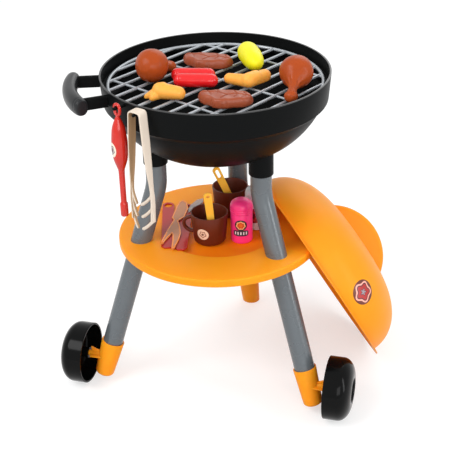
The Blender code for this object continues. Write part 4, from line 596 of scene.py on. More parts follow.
class BarbecueSizes(bpy.types.PropertyGroup):
    """Sizes a user would change."""

    segments: IntProperty(name="Round segments", description="Faces round the large turned pieces", min=24,
        max=256, default=128)


class BARBECUE_OT_bowl(bpy.types.Operator):
    """Black kettle bowl with its rim band, inner ledge and the two tool pegs"""

    bl_idname = "barbecue.bowl"
    bl_label = "Bowl"

    def execute(self, context):
        segments = context.scene.barbecue_sizes.segments
        foot = RIM - BAND
        outer = dish_profile(BOWL_R, DISH_DEPTH, BAND + 0.006)
        band = [(0.1650, foot - 0.0016), (0.16625, foot - 0.0006), (0.1666, foot + 0.0012),
            (0.16985, RIM - 0.0014), (0.16975, RIM - 0.0004), (0.1691, RIM), (0.1675, RIM),
            (0.1670, RIM - 0.0005)]
        ledge = [(0.16545, RIM - 0.0195), (0.1652, RIM - 0.0197), (0.1549, RIM - 0.0197),
            (0.1546, RIM - 0.0201), (0.1546, RIM - 0.0224), (0.1549, RIM - 0.0227), (0.1648, RIM - 0.0227),
            (0.1635, foot)]
        inner = dish_profile(BOWL_R - WALL, DISH_DEPTH - WALL, BAND + 0.006)[::-1]
        shell = turned(np.concatenate((outer, band, ledge, inner)), segments)
        piece = add_piece("bowl_shell", [shell], BLACK, "grill", ("bowl",))
        # The rim's top faces get a lighter black: a painted highlight where the rim catches the light
        paint(piece, "Polished black rim", face_values(piece, "center")[:, 2] > RIM - RIM_HIGHLIGHT_BAND)
        for name, turn in (("peg_turner", TURNER_TURN), ("peg_tongs", TONGS_TURN)):
            line = [out(turn, BOWL_R - 0.0012, PEG_Z), out(turn, 0.1885, PEG_Z)]
            path, radii = rounded_ends(line, 0.0023)
            rod = sweep(path, out(turn + math.pi / 2), radii, radii, 20)
            add_piece(name + "_pin", [rod], BLACK, "grill", (name,))
        return {"FINISHED"}


class BARBECUE_OT_grate(bpy.types.Operator):
    """Silver grate: a ring, twelve main bars and three cross bars"""

    bl_idname = "barbecue.grate"
    bl_label = "Grate"

    def execute(self, context):
        angle = circle(144)
        around = circle(16)
        ring_r = GRATE_R + RING_THICK * np.cos(around)
        ring_z = GRATE_Z + RING_THICK * np.sin(around) + 0 * angle[:, None]
        ring = np.stack((ring_r * np.cos(angle)[:, None], ring_r * np.sin(angle)[:, None], ring_z), -1)
        surfaces = [grid(ring, rows_close=True)]
        cross_places = (np.arange(3) - 1) * CROSS_PITCH + CROSS_SHIFT
        rows = ((BAR_PLACES, GRATE_TURN, BAR_THICK, 0.0),
                (cross_places, GRATE_TURN - math.pi / 2, CROSS_THICK, CROSS_SINK))
        for offsets, turn, radius, sink in rows:
            along = out(turn)
            across = np.array([math.sin(turn), -math.cos(turn), 0.0])
            for offset in offsets:
                half = math.sqrt(GRATE_R ** 2 - offset ** 2) * along
                middle = across * offset + np.array([0, 0, GRATE_Z + sink])
                surfaces.append(sweep([middle - half, middle + half], (0, 0, 1), radius, radius, 14))
        add_piece("grate_bars", surfaces, "Silver grey plastic", "grate_body", ("grate",))
        return {"FINISHED"}


class BARBECUE_OT_handle(bpy.types.Operator):
    """Curved black grip with finger ribs and the two flat arms that hold it"""

    bl_idname = "barbecue.handle"
    bl_label = "Handle"

    def execute(self, context):
        half_length, wide, thick = 0.0581, 0.01075, 0.01345
        arm_start_r, arm_wide, arm_thick, arm_root, arm_tip = 0.1688, 0.00325, 0.009, 0.040, 0.046
        rib_places, rib_depth, rib_width = np.array([0.66, 0.76, 0.86]), 0.035, 0.018
        share, round_from = np.linspace(-1, 1, 97), 0.93
        half_turn = math.asin(half_length / GRIP_BEND)
        turn = half_turn * np.sin(share * math.pi / 2)
        swell = 0.62 + 0.38 * np.sqrt(np.clip(1 - share ** 4, 0, 1))
        beyond = np.clip((np.abs(share) - round_from) / (1 - round_from), 0, 1)
        tip = np.sqrt(np.clip(1 - beyond ** 2, 0, 1))
        gaps = np.abs(share[:, None] - rib_places)
        ribs = 1 - rib_depth * np.exp(-(gaps / rib_width) ** 2).sum(1)
        reach = GRIP_MIDDLE - GRIP_BEND * (1 - np.cos(turn))
        path = np.stack((reach, GRIP_BEND * np.sin(turn), 0 * turn), 1)
        size = swell * ribs * (0.25 + 0.75 * tip)
        grip = sweep(path, (0, 0, 1), wide * size, thick * size, 40, 0.9)
        frame_turn = dict(location=(0, 0, RIM - HANDLE_DROP), x=out(GRIP_TURN))
        add_piece("grip", [placed(grip, **frame_turn)], "Satin grip black", "grill", ("handle_grip",),
            crease=50)
        for name, sign in (("back", -1), ("front", 1)):
            start = np.array([math.sqrt(arm_start_r ** 2 - arm_root ** 2), sign * arm_root, 0.0])
            tip_turn = math.asin(arm_tip / GRIP_BEND)
            end = np.array([GRIP_MIDDLE - GRIP_BEND * (1 - math.cos(tip_turn)), sign * arm_tip, 0.0])
            arm = sweep([start, end], (0, 0, 1), arm_wide, arm_thick, 32, 0.35)
            add_piece("arm_" + name, [placed(arm, **frame_turn)], BLACK, "grill", ("handle_arm_" + name,),
                crease=50)
        return {"FINISHED"}


class BARBECUE_OT_legs(bpy.types.Operator):
    """Three bent grey tubes in black sockets, with their cross screws"""

    bl_idname = "barbecue.legs"
    bl_label = "Legs and sockets"

    def execute(self, context):
        for name, (turn, offset, *_) in LEGS.items():
            path = leg_line(name)
            side = out(turn + math.pi / 2)
            outer = sweep(path, side, LEG_R, LEG_R, 48)
            add_piece("tube_" + name, [outer], "Satin grey tube", "grill", ("leg_" + name,))
            angle = circle(64)
            bottom = float(dish_z(offset)) - SOCKET_DEPTH
            rows = []
            bore_r, socket_r, edge = 0.01635, 0.0185, 0.0004
            for radius, height in ((bore_r, bottom + edge), (0.0167, bottom), (0.0181, bottom),
                    (socket_r, bottom + edge), (socket_r, None), (bore_r, None)):
                x, y = offset + radius * np.cos(angle), radius * np.sin(angle)
                top = dish_z(np.hypot(x, y)) + 0.0009
                rows.append(np.stack((x, y, top if height is None else height + 0 * x), 1))
            socket = grid(np.stack(rows), rows_close=True)
            add_piece("socket_" + name, [placed(socket, x=out(turn))], BLACK, "grill",
                ("leg_socket_" + name,))
            height = (bottom + path[0][2]) / 2
            head = [(0, 0.0007), (0.0012, 0.0007), (0.0013, 0.0014), (0.0022, 0.0014), (0.0029, 0.0008),
                (0.003, 0), (0.0015, 0), (0.0015, -0.0045), (0, -0.0045)]
            screw = placed(turned(head, 24), out(turn, offset - LEG_R - 0.0028, height), z=out(turn, -1.0))
            add_piece("screw_" + name, [screw], STEEL, "grill", ("leg_screw_" + name,))
        return {"FINISHED"}


class BARBECUE_OT_shelf(bpy.types.Operator):
    """Round orange shelf with a rounded edge and a shallow well"""

    bl_idname = "barbecue.shelf"
    bl_label = "Shelf"

    def execute(self, context):
        edge_r, bend_r, slope = 0.0035, 0.0011, 0.003
        edge = corner(SHELF_R - edge_r, SHELF_Z - edge_r, edge_r, edge_r, 7, 1, 0)
        steep = math.atan2(WELL_DEPTH, slope) / (math.pi / 2)
        low_bend = corner(WELL_R - 0.0036, SHELF_Z - WELL_DEPTH + bend_r, bend_r, bend_r, 7, -1, steep - 1)
        high_bend = corner(WELL_R + 0.0006, SHELF_Z - bend_r, bend_r, bend_r, 7, 1 + steep, 1)
        top = np.concatenate(([(0, SHELF_Z - WELL_DEPTH)], low_bend, high_bend, edge))
        low = SHELF_Z - 0.0124
        under = [(SHELF_R, low + 0.0004), (SHELF_R - 0.0004, low), (SHELF_R - 0.0021, low),
            (SHELF_R - 0.0025, low + 0.0004), (SHELF_R - 0.0025, SHELF_Z - 0.0045),
            (SHELF_R - 0.0045, SHELF_Z - 0.0025), (WELL_R, SHELF_Z - 0.0025),
            (WELL_R - 0.003, SHELF_Z - 0.0085), (0, SHELF_Z - 0.0085)]
        surface = turned(np.concatenate((top, under)), context.scene.barbecue_sizes.segments)
        piece = add_piece("shelf_plate", [surface], ORANGE, "grill", ("shelf",))
        x, y, z = (face_values(piece, "center") - AXIS).T
        # Faces inside the well get a deeper orange: painted shade of the recess
        paint(piece, "Deep orange well", (np.hypot(x, y) < WELL_R + 0.0002) & (z > SHELF_Z - WELL_DEPTH
                - 0.0002))
        return {"FINISHED"}


class BARBECUE_OT_feet(bpy.types.Operator):
    """Orange cups on the legs' ends; the front two carry the axle stubs on flat and upright webs"""

    bl_idname = "barbecue.feet"
    bl_label = "Feet"

    def execute(self, context):
        for name, (turn, offset, bend, splay, _) in LEGS.items():
            rear = name == "rear"
            height, depth = 0.074, 0.024 if rear else 0.0155
            length = (0.074 if rear else 0.0595) / math.cos(splay)
            top = out(turn, offset + (bend - height) * math.tan(splay), height)
            low_r, round_r = 0.0153, 0.006
            if rear:
                profile = [(0, -length - 0.006), (low_r, -length - 0.006)]
            else:
                profile = corner(low_r - round_r, round_r - length, round_r, round_r, 8, -1, 0).tolist()
                profile.insert(0, (0, -length))
            profile += [(0.0183, -0.0008), (0.0180, 0), (0.0166, 0), (0.0163, -0.0004), (0.0163, -depth),
                (0, -depth)]
            verts, faces = placed(turned(profile, 64), top, x=out(turn), z=leg_axis(name))
            verts[:, 2] = np.maximum(verts[:, 2], 0.0)
            surfaces = [(verts, faces)]
            if not rear:
                surfaces += self.webs(math.copysign(1, math.cos(turn)))
            add_piece("foot_" + name + "_cup", surfaces, ORANGE, "grill", ("foot_" + name,))
        return {"FINISHED"}

    def webs(self, sign):
        """Stub and webs from the cup to the wheel: a round rod and two plates with rounded edges."""
        axle = np.array([0, WHEEL_Y, WHEEL_R])
        stub_r, start_x, end_x = 0.005, 0.163, 0.2222
        near, far, wide, thick, edge = 0.1695, 0.1935, 0.011, 0.0024, 0.0004
        stub = sweep([axle + (sign * start_x, 0, 0), axle + (sign * end_x, 0, 0)], (0, 0, 1), stub_r,
            stub_r, 32)
        flat = slab([(near, -wide), (far, -wide), (far, wide), (near, wide)], thick, edge)
        upright = slab([(near, -0.001), (far, -0.001), (far, 0.013), (near, 0.0025)], thick, edge)
        side = (sign, 0, 0)
        return [stub, placed(flat, axle + (0, 0, -thick / 2), x=side),
            placed(upright, axle + (0, thick / 2 * sign, 0), x=side, z=(0, -sign, 0))]


class BARBECUE_OT_wheels(bpy.types.Operator):
    """Glossy black hollow wheels with a recessed hub, and their axle screws"""

    bl_idname = "barbecue.wheels"
    bl_label = "Wheels"

    def execute(self, context):
        tread, flat = 0.02132, 0.0215
        cheek, shell = WHEEL_R - flat, 0.003
        round_out = corner(flat, tread, cheek, WHEEL_W - tread, 24)
        round_in = corner(flat, tread, cheek - shell, WHEEL_W - shell - tread, 24)
        lip = [(0.0202, WHEEL_W - 0.0001), (0.0190, WHEEL_W - 0.0006), (0.0181, WHEEL_W - 0.0016),
            (0.0177, WHEEL_W - 0.0029), (0.0176, HUB_FLOOR + 0.0003), (0.0173, HUB_FLOOR)]
        hub = [(0.0140, HUB_FLOOR), (0.0137, HUB_FLOOR - 0.0006), (0.0086, HUB_FLOOR - 0.0006),
            (0.0083, HUB_FLOOR), (0.0022, HUB_FLOOR), (0.0022, 0.0275), (0.0053, 0.0275), (0.0053, 0.0030),
            (0.0085, 0.0030), (0.0085, 0.0273), (0.0089, 0.0275), (0.0202, 0.0275), (0.0206, 0.0279),
            (0.0206, 0.0358)]
        profile = np.concatenate(([(WHEEL_R - 0.0006, 0.0), (WHEEL_R, 0.0006)], round_out, lip, hub,
                round_in[::-1], [(WHEEL_R - 0.003, 0.0004), (WHEEL_R - 0.0026, 0.0),
                (WHEEL_R - 0.0006, 0.0)]))
        for name, sign in (("left", -1), ("right", 1)):
            centre = np.array([sign * WHEEL_X, WHEEL_Y, WHEEL_R])
            wheel = placed(turned(profile, context.scene.barbecue_sizes.segments), centre, x=(0, 0, 1),
                z=(sign, 0, 0))
            add_piece("tyre_" + name, [wheel], "Gloss black plastic", "wheel_%s_body" % name,
                ("wheel_" + name,), crease=40)
            head = [(0, 0.0012), (0.0020, 0.0012), (0.0022, 0.0021), (0.0038, 0.0022), (0.0050, 0.0012),
                (0.0052, 0), (0.0019, 0), (0.0019, -0.013), (0, -0.013)]
            screw = placed(turned(head, 32), centre + (sign * (HUB_FLOOR + 0.0003), 0, 0), x=(0, 0, 1),
                z=(sign, 0, 0))
            add_piece("axle_bolt_" + name, [screw], STEEL, "grill", ("axle_screw_" + name,))
        return {"FINISHED"}


class BARBECUE_OT_lid(bpy.types.Operator):
    """Orange lid leaning on the shelf, with its half round fin and a plain round badge"""

    bl_idname = "barbecue.lid"
    bl_label = "Lid"

    def execute(self, context):
        centre = out(LID_TURN, LID_DISTANCE, LID_R * math.cos(LID_LEAN))
        axis = out(LID_TURN, math.cos(LID_LEAN), math.sin(LID_LEAN))
        across = out(LID_TURN + math.pi / 2)
        angle = np.linspace(math.pi / 2, 0, 48)
        reach = np.clip(np.cos(angle), 0, 1) ** 0.64
        reach[0] = 0
        dome_r, rise, wall = 0.1644, 0.002, 0.0025
        outer = np.stack((dome_r * reach, rise + (LID_DEPTH - rise) * np.sin(angle)), 1)
        inner = np.stack((0.1619 * reach, (LID_DEPTH - wall) * np.sin(angle)), 1)
        lip = [(0.1660, 0.0020), (LID_R - 0.0006, 0.0020), (LID_R, 0.0016), (LID_R, 0.0004),
            (LID_R - 0.0004, 0.0)]
        dome = turned(np.concatenate((outer, lip, inner[::-1])), context.scene.barbecue_sizes.segments)
        turn = np.linspace(-1, 1, 49) * math.acos((LID_DEPTH * 0.90 - FIN_RISE) / FIN_R)
        fin_half, fin_foot, fin_thick, fin_turn = 0.0467, 0.0743, 0.013, math.radians(57)
        arc = np.stack((FIN_R * np.sin(turn), FIN_RISE + FIN_R * np.cos(turn)), 1)
        outline = np.concatenate((arc, [(fin_half, fin_foot), (-fin_half, fin_foot)]))
        fin = slab(outline, fin_thick, 0.0052, 8)
        fin = (fin[0] - (0, 0, fin_thick / 2), fin[1])
        fin = placed(fin, x=out(fin_turn), z=(math.sin(fin_turn), -math.cos(fin_turn), 0))
        place = dict(location=centre, x=across, z=axis)
        add_piece("lid_dome", [placed(dome, **place)], ORANGE, "lid_body", ("lid",))
        add_piece("lid_fin", [placed(fin, **place)], ORANGE, "lid_body", slot="orange", crease=50)
        badge, uv = patch(outer, math.radians(171), 0.1705, 0.0195, 0.0195)
        ink = printed("Lid rosette print", [(0.0, (0.34, 0.30, 0.33)), (0.17, (0.060, 0.012, 0.020)),
                (0.24, (0.44, 0.020, 0.018)), (0.56, (0.090, 0.010, 0.014)), (0.66, (0.90, 0.42, 0.34)),
                (0.80, (0.14, 0.020, 0.008))], (0.11, 0.018, 0.006), 0.35, 5, 0.09)
        add_piece("lid_badge", [placed(badge, **place)], ink, "lid_body", uv=uv, slot="orange")
        return {"FINISHED"}


class BARBECUE_OT_food(bpy.types.Operator):
    """Drumsticks, steaks, sausages, corn and wings on the grate"""

    bl_idname = "barbecue.food"
    bl_label = "Play food"

    def execute(self, context):
        for build in (self.drumsticks, self.steaks, self.sausages, self.corn, self.wings):
            build()
        return {"FINISHED"}

    def drumsticks(self):
        """Ball that narrows to a bone with a two lobed knob; sine ripples wrinkle the skin near the neck."""
        nodes = {"right": (0.1232, -0.0104, -86), "left": (-0.0870, -0.0295, 78)}
        shares = [(-0.480, 0.0), (-0.465, 0.20), (-0.42, 0.48), (-0.25, 0.85), (0.0, 1.0), (0.20, 0.90),
            (0.38, 0.62), (0.55, 0.36), (0.74, 0.25), (0.86, 0.28)]
        for name, (x, y, turn) in nodes.items():
            start = np.array([x, y, self.rest(x, y, DRUM_R)])
            tip = start[:2] + DRUM_REACH * out(math.radians(turn))[:2]
            end = np.array([*tip, self.rest(*tip, KNOB_R)])
            length = np.linalg.norm(end - start)
            knob = [(length - 0.0043, 0.0076), (length, KNOB_R), (length + 0.0052, 0.0076),
                (length + 0.0085, 0.003), (length + 0.0090, 0.0)]
            corners = [(r * DRUM_R, z * DRUM_REACH) for z, r in shares] + [(r, z) for z, r in knob]
            profile = curve_through(corners, 10)
            profile[:, 0] = np.maximum(profile[:, 0], 0)
            points, faces = turned(profile, 96)
            angle = np.arctan2(points[:, 1], points[:, 0])
            height = points[:, 2]
            neck_z, neck_wide = 0.028, 0.007
            neck = np.exp(-((height - neck_z) / neck_wide) ** 2)
            wrinkle = 0.05 * neck * np.sin(9 * angle + 2 * np.sin(180 * height))
            ripple = 1 + wrinkle + 0.015 * np.sin(3 * angle + 90 * height)
            lobes = 1 + 0.16 * np.exp(-((height - length) / 0.006) ** 2) * (np.abs(np.cos(angle)) - 0.6)
            points[:, :2] *= (ripple * np.minimum(lobes, 1.04))[:, None]
            across = np.cross((0, 0, 1), end - start)
            surface = placed((points, faces), start, x=across, z=end - start)
            toy("drumstick_" + name, "meat", [surface], "Cooked brown plastic", crease=60)

    def rest(self, x, y, radius):
        """Height of a ball on the nearest bar: bar height + root of reach squared minus distance squared."""
        across = x * math.sin(GRATE_TURN) - y * math.cos(GRATE_TURN)
        nearest = np.abs(BAR_PLACES - across).min()
        return GRATE_Z + math.sqrt((radius + 0.00255) ** 2 - nearest ** 2)

    def steaks(self):
        """Steak: its outline shrinks to the middle over a rounded top; grooves along curves, fluted sides."""
        shares = np.array([(-0.505, 0.22), (-0.47, 0.36), (-0.30, 0.42), (-0.08, 0.50), (0.16, 0.44),
                (0.36, 0.42), (0.49, 0.20), (0.50, -0.10), (0.38, -0.34), (0.20, -0.42), (0.02, -0.53),
                (-0.16, -0.50), (-0.27, -0.30), (-0.41, -0.14)])
        long, wide, high = 0.077, 0.041, 0.0145
        outline = loop_through(shares * (long, wide), 14)
        rows = np.array([(0.0, 0.0), (0.60, 0.0), (0.88, 0.0), (0.945, 0.03), (0.985, 0.10), (1.0, 0.20),
                (0.995, 0.40), (0.965, 0.62), (0.93, 0.78), (0.90, 0.88), (0.86, 0.95)]
            + [(share, 1.0) for share in np.linspace(0.81, 0.0, 26)])
        sizes, heights = rows[:, 0], rows[:, 1] * high
        index = np.arange(len(outline))
        side = np.exp(-((rows[:, 1] - 0.5) / 0.35) ** 2)
        ridges = np.abs(np.sin(index * 0.19 + 0.5 * np.sin(index * 0.083))) ** 0.6 - 0.6
        flutes = 1 + 0.045 * side[:, None] * ridges[None] * np.clip((sizes - 0.8) / 0.12, 0, 1)[:, None]
        flutes = np.minimum(flutes, 1.012)
        points = outline[None] * (sizes[:, None] * flutes)[..., None]
        height = np.repeat(heights[:, None], len(outline), 1)
        groove = self.groove(points, curve_through([(-0.034, 0.006), (-0.016, 0.009), (0.002, 0.001),
                (0.018, 0.003), (0.034, -0.001)], 10))
        branch = self.groove(points, curve_through([(0.004, 0.001), (-0.001, -0.008), (-0.004, -0.013)], 8))
        top = rows[:, 1:2] > 0.93
        ripple = (1 + np.sin(points[..., 0] * 300 + points[..., 1] * 140)) / 2
        lines = ([(-0.026, 0.012), (-0.021, 0.004), (-0.019, -0.003)], [(-0.012, 0.014), (-0.010, 0.006)],
                 [(0.012, 0.012), (0.017, 0.003), (0.014, -0.008)],
                 [(0.026, 0.010), (0.029, 0.000), (0.025, -0.008)])
        slots = sum(self.groove(points, curve_through(line, 6)) for line in lines)
        cuts = 0.0026 * groove + 0.0020 * branch + 0.0015 * np.minimum(slots, 1) + 0.0007 * ripple
        height = height - top * cuts
        surface = grid(np.concatenate((points, height[..., None]), -1))
        for name, x, y, turn in (("back", -0.0272, 0.0509, 4), ("front", 0.0391, -0.0900, 8)):
            place = placed(surface, (x, y, FOOD_Z), x=out(math.radians(turn)))
            toy("steak_" + name, "meat", [place], "Grilled brown plastic", crease=60)

    def groove(self, points, line):
        """Depth of a groove: a bell curve of the distance to the nearest point of its line."""
        gap = np.linalg.norm(points[:, :, None] - line[None, None], axis=-1).min(-1)
        return np.exp(-(gap / GROOVE_WIDTH) ** 2)

    def sausages(self):
        """Sausage: a tube with half round ends and a shallow dimple ring near each end."""
        along = out(math.radians(10.5))
        half, skin_r, ring, ring_width = 0.0226, 0.0099, 0.0225, 0.0012
        for name, x, y in (("back", -0.0281, -0.0179), ("front", -0.0183, -0.0386)):
            middle = np.array([x, y, FOOD_Z + 0.010])
            share = np.linspace(-1, 1, 41)[:, None]
            path, radii = rounded_ends(middle + share * half * along, skin_r, 12)
            distance = (path - middle) @ along
            radii = radii * (1 - 0.035 * np.exp(-((np.abs(distance) - ring) / ring_width) ** 2))
            surface = sweep(path, (0, 0, 1), radii, radii, 48)
            toy("sausage_" + name, "skin", [surface], "Gloss red plastic", crease=60)

    def corn(self):
        """Corn cob: radius along the cob times one plus a small cosine lattice of kernels."""
        shares = [(0.0, 0.0), (0.01, 0.26), (0.035, 0.48), (0.10, 0.74), (0.24, 0.97), (0.40, 1.0),
            (0.60, 0.97), (0.80, 0.84), (0.94, 0.56), (0.985, 0.30), (1.0, 0.0)]
        cob_r, length, rows, pitch = 0.0163, 0.080, 20, 0.0052
        profile = curve_through([(cob_r * r, length * z) for z, r in shares], 18)
        profile[:, 0] = np.maximum(profile[:, 0], 0)
        points, faces = turned(profile, 192)
        angle = np.arctan2(points[:, 1], points[:, 0])
        kernels = 1 + 0.012 * np.cos(rows * angle) * np.cos(points[:, 2] * TURN / pitch)
        points[:, :2] *= kernels[:, None]
        along = out(math.radians(-62))
        start = np.array([0.0397, 0.0574, FOOD_Z + 0.0165]) - along * length / 2
        toy("corn", "cob", [placed((points, faces), start, z=along)], "Corn yellow plastic", crease=60)

    def wings(self):
        """Wings: tapered round ended lobes that meet in a joint, fused by a fine remesh and smoothed."""
        lobes = {
            "left": (-0.0540, -0.0916, ((0.0200, -166, 0.0118, 0.0040), (0.02625, 5, 0.0118, 0.00955),
                                        (0.0205, 176, 0.0070, 0.0032), (0.0130, -128, 0.0100, 0.0062))),
            "right": (0.0565, -0.0248, ((0.03275, 163, 0.0098, 0.0078), (0.0320, 57, 0.0102, 0.0095),
                                        (0.0180, 110, 0.0090, 0.0070), (0.0150, 60, 0.0110, 0.0108))),
        }
        for name, (x, y, parts) in lobes.items():
            surfaces = []
            for reach, degrees, near, far in parts:
                tip = np.array([x, y, FOOD_Z + far]) + out(math.radians(degrees), reach)
                line = np.linspace((x, y, FOOD_Z + near), tip, 12)
                path, radii = rounded_ends(line, np.linspace(near, far, 12), 8)
                surfaces.append(sweep(path, (0, 0, 1), radii, radii, 32))
            piece = toy("wing_" + name, "skin", surfaces, "Crisp yellow plastic", crease=180)
            fuse = piece.modifiers.new("Fuse lobes", "REMESH")
            fuse.mode = "VOXEL"
            fuse.voxel_size = VOXEL
            fuse.use_smooth_shade = True
            soften = piece.modifiers.new("Soften joint", "SMOOTH")
            soften.factor = 0.5
            soften.iterations = 12


class BARBECUE_OT_tools(bpy.types.Operator):
    """Red turner and beige tongs that hang on the rim's pegs"""

    bl_idname = "barbecue.tools"
    bl_label = "Hanging tools"

    def execute(self, context):
        self.turner()
        self.tongs()
        return {"FINISHED"}

    def turner(self):
        """Turned handle, a thin neck and a narrow end, with a ring whose plane faces outwards."""
        shares = [(0.0, 0.25), (0.06, 0.45), (0.20, 0.80), (0.40, 0.97), (0.60, 1.0), (0.78, 0.86),
            (0.92, 0.55), (1.0, 0.40)]
        grip_r, grip_top, grip_long = 0.0115, RIM - 0.019, 0.082
        grip = [(grip_r * r, grip_top - grip_long * z) for z, r in shares]
        head = [(0.0, RIM - 0.0167), (0.0018, RIM - 0.0173)]
        neck = [(0.0043, RIM - 0.1205), (0.0042, RIM - 0.1475)]
        body = curve_through(head + grip + neck, 8)
        end = [(0.0042, RIM - 0.1503), (0.0053, RIM - 0.1520), (0.0057, RIM - 0.1530),
            (0.0057, RIM - 0.1710), (0.0052, RIM - 0.1718), (0.0, RIM - 0.1720)]
        body[:, 0] = np.maximum(body[:, 0], 0)
        handle = turned(np.concatenate((body, end)), 48)
        angle = circle(48)
        drop = -0.0045 * (np.sin(angle) < 0) * np.abs(np.sin(angle)) ** 0.5
        centre = PEG_Z - 0.0005
        around = circle(16)
        loop_r, wire_r = 0.0057, 0.0022
        radius = loop_r + wire_r * np.cos(around)[None]
        proud = wire_r * np.sin(around)[None] + 0 * angle[:, None]
        ring_z = centre + drop[:, None] + radius * np.sin(angle)[:, None]
        ring = np.stack((proud, radius * np.cos(angle)[:, None], ring_z), -1)
        place = dict(location=out(TURNER_TURN, TURNER_REACH), x=out(TURNER_TURN))
        surfaces = [placed(handle, **place), placed(grid(ring, rows_close=True), **place)]
        toy("turner", "red", surfaces, "Tool red plastic", crease=50)
        wall = body[(body[:, 1] < RIM - 0.030) & (body[:, 1] > RIM - 0.098)]
        down = np.linalg.norm(np.diff(wall[wall[:, 1] > RIM - 0.0665], axis=0), axis=1).sum()
        sticker, uv = patch(wall, math.radians(-134) - TURNER_TURN, down, 0.0076, 0.0110)
        ink = printed("Turner rosette print", [(0.0, (0.10, 0.020, 0.030)), (0.30, (0.55, 0.50, 0.50)),
                (0.46, (0.060, 0.030, 0.040)), (0.60, (0.88, 0.80, 0.66))],
            (0.90, 0.82, 0.66), 0.35, 5, 0.08)
        add_piece("turner_sticker", [placed(sticker, **place)], ink, "turner_body", uv=uv, slot="tool_red")

    def tongs(self):
        """One strip bent over the peg: rounded top, two arms that narrow, and three curled claws on each."""
        top = PEG_Z + 0.0041
        half, spread, length = 0.0088, 0.0085, 0.166
        strip_thick, claw_r, claw_pitch = 0.0013, 0.0024, 0.0195
        arm = [(0.25, 0.25, 16.0), (0.50, 0.60, 12.5), (0.66, 0.85, 8.0), (0.80, 1.0, 8.3),
            (1.0, 0.80, 9.6)]
        down = [(half + 0.0013 + share * spread, top - drop * length) for drop, share, _ in arm]
        widths = [0.008] * 4 + [width / 2000 for *_, width in arm]
        right = [(0.0042, top), (half - 0.0010, top - 0.0009), (half + 0.0009, top - 0.0042),
            (half + 0.0013, top - 0.010)] + down
        points = [(-y, z) for y, z in right[::-1]] + right
        path = curve_through([(0, y, z) for y, z in points], 6)
        wide = np.clip(curve_through([[w] for w in widths[::-1] + widths], 6)[:, 0], 0.0037, 0.008)
        strip = sweep(path, (1, 0, 0), strip_thick, wide, 32, 0.35)
        surfaces = [strip]
        for sign, reach in ((1, 0.0185), (-1, 0.0060)):
            for index in range(3):
                start = top - length + (2 - index) * claw_pitch + 0.0021
                corners = [(0.0, 0.014), (0.0, 0.006), (-0.10, -0.001), (-0.45, -0.0085), (-0.80, -0.0145),
                    (-1.0, -0.0172)]
                line = [(0.0, sign * (half + spread + side * reach), start + drop) for side, drop in corners]
                claw = curve_through(line, 5)
                share = np.linspace(0, 1, len(claw))
                claw_path, radii = rounded_ends(claw, claw_r - 0.0001 * share, 5)
                surfaces.append(sweep(claw_path, (1, 0, 0), radii, radii * 1.1, 20))
        place = dict(location=out(TONGS_TURN, TONGS_REACH), x=out(TONGS_TURN))
        piece = toy("tongs", "strip", [placed(surface, **place) for surface in surfaces], "Beige plastic",
            crease=50)
        # The arms' inner faces, turned towards each other, get a darker tan: painted shade between the arms
        across = out(TONGS_TURN + math.pi / 2)
        side = (face_values(piece, "center") - AXIS) @ across
        facing = face_values(piece, "normal") @ across * np.sign(side)
        paint(piece, "Tan inner face", (facing < -0.6) & (np.abs(side) > 0.004))


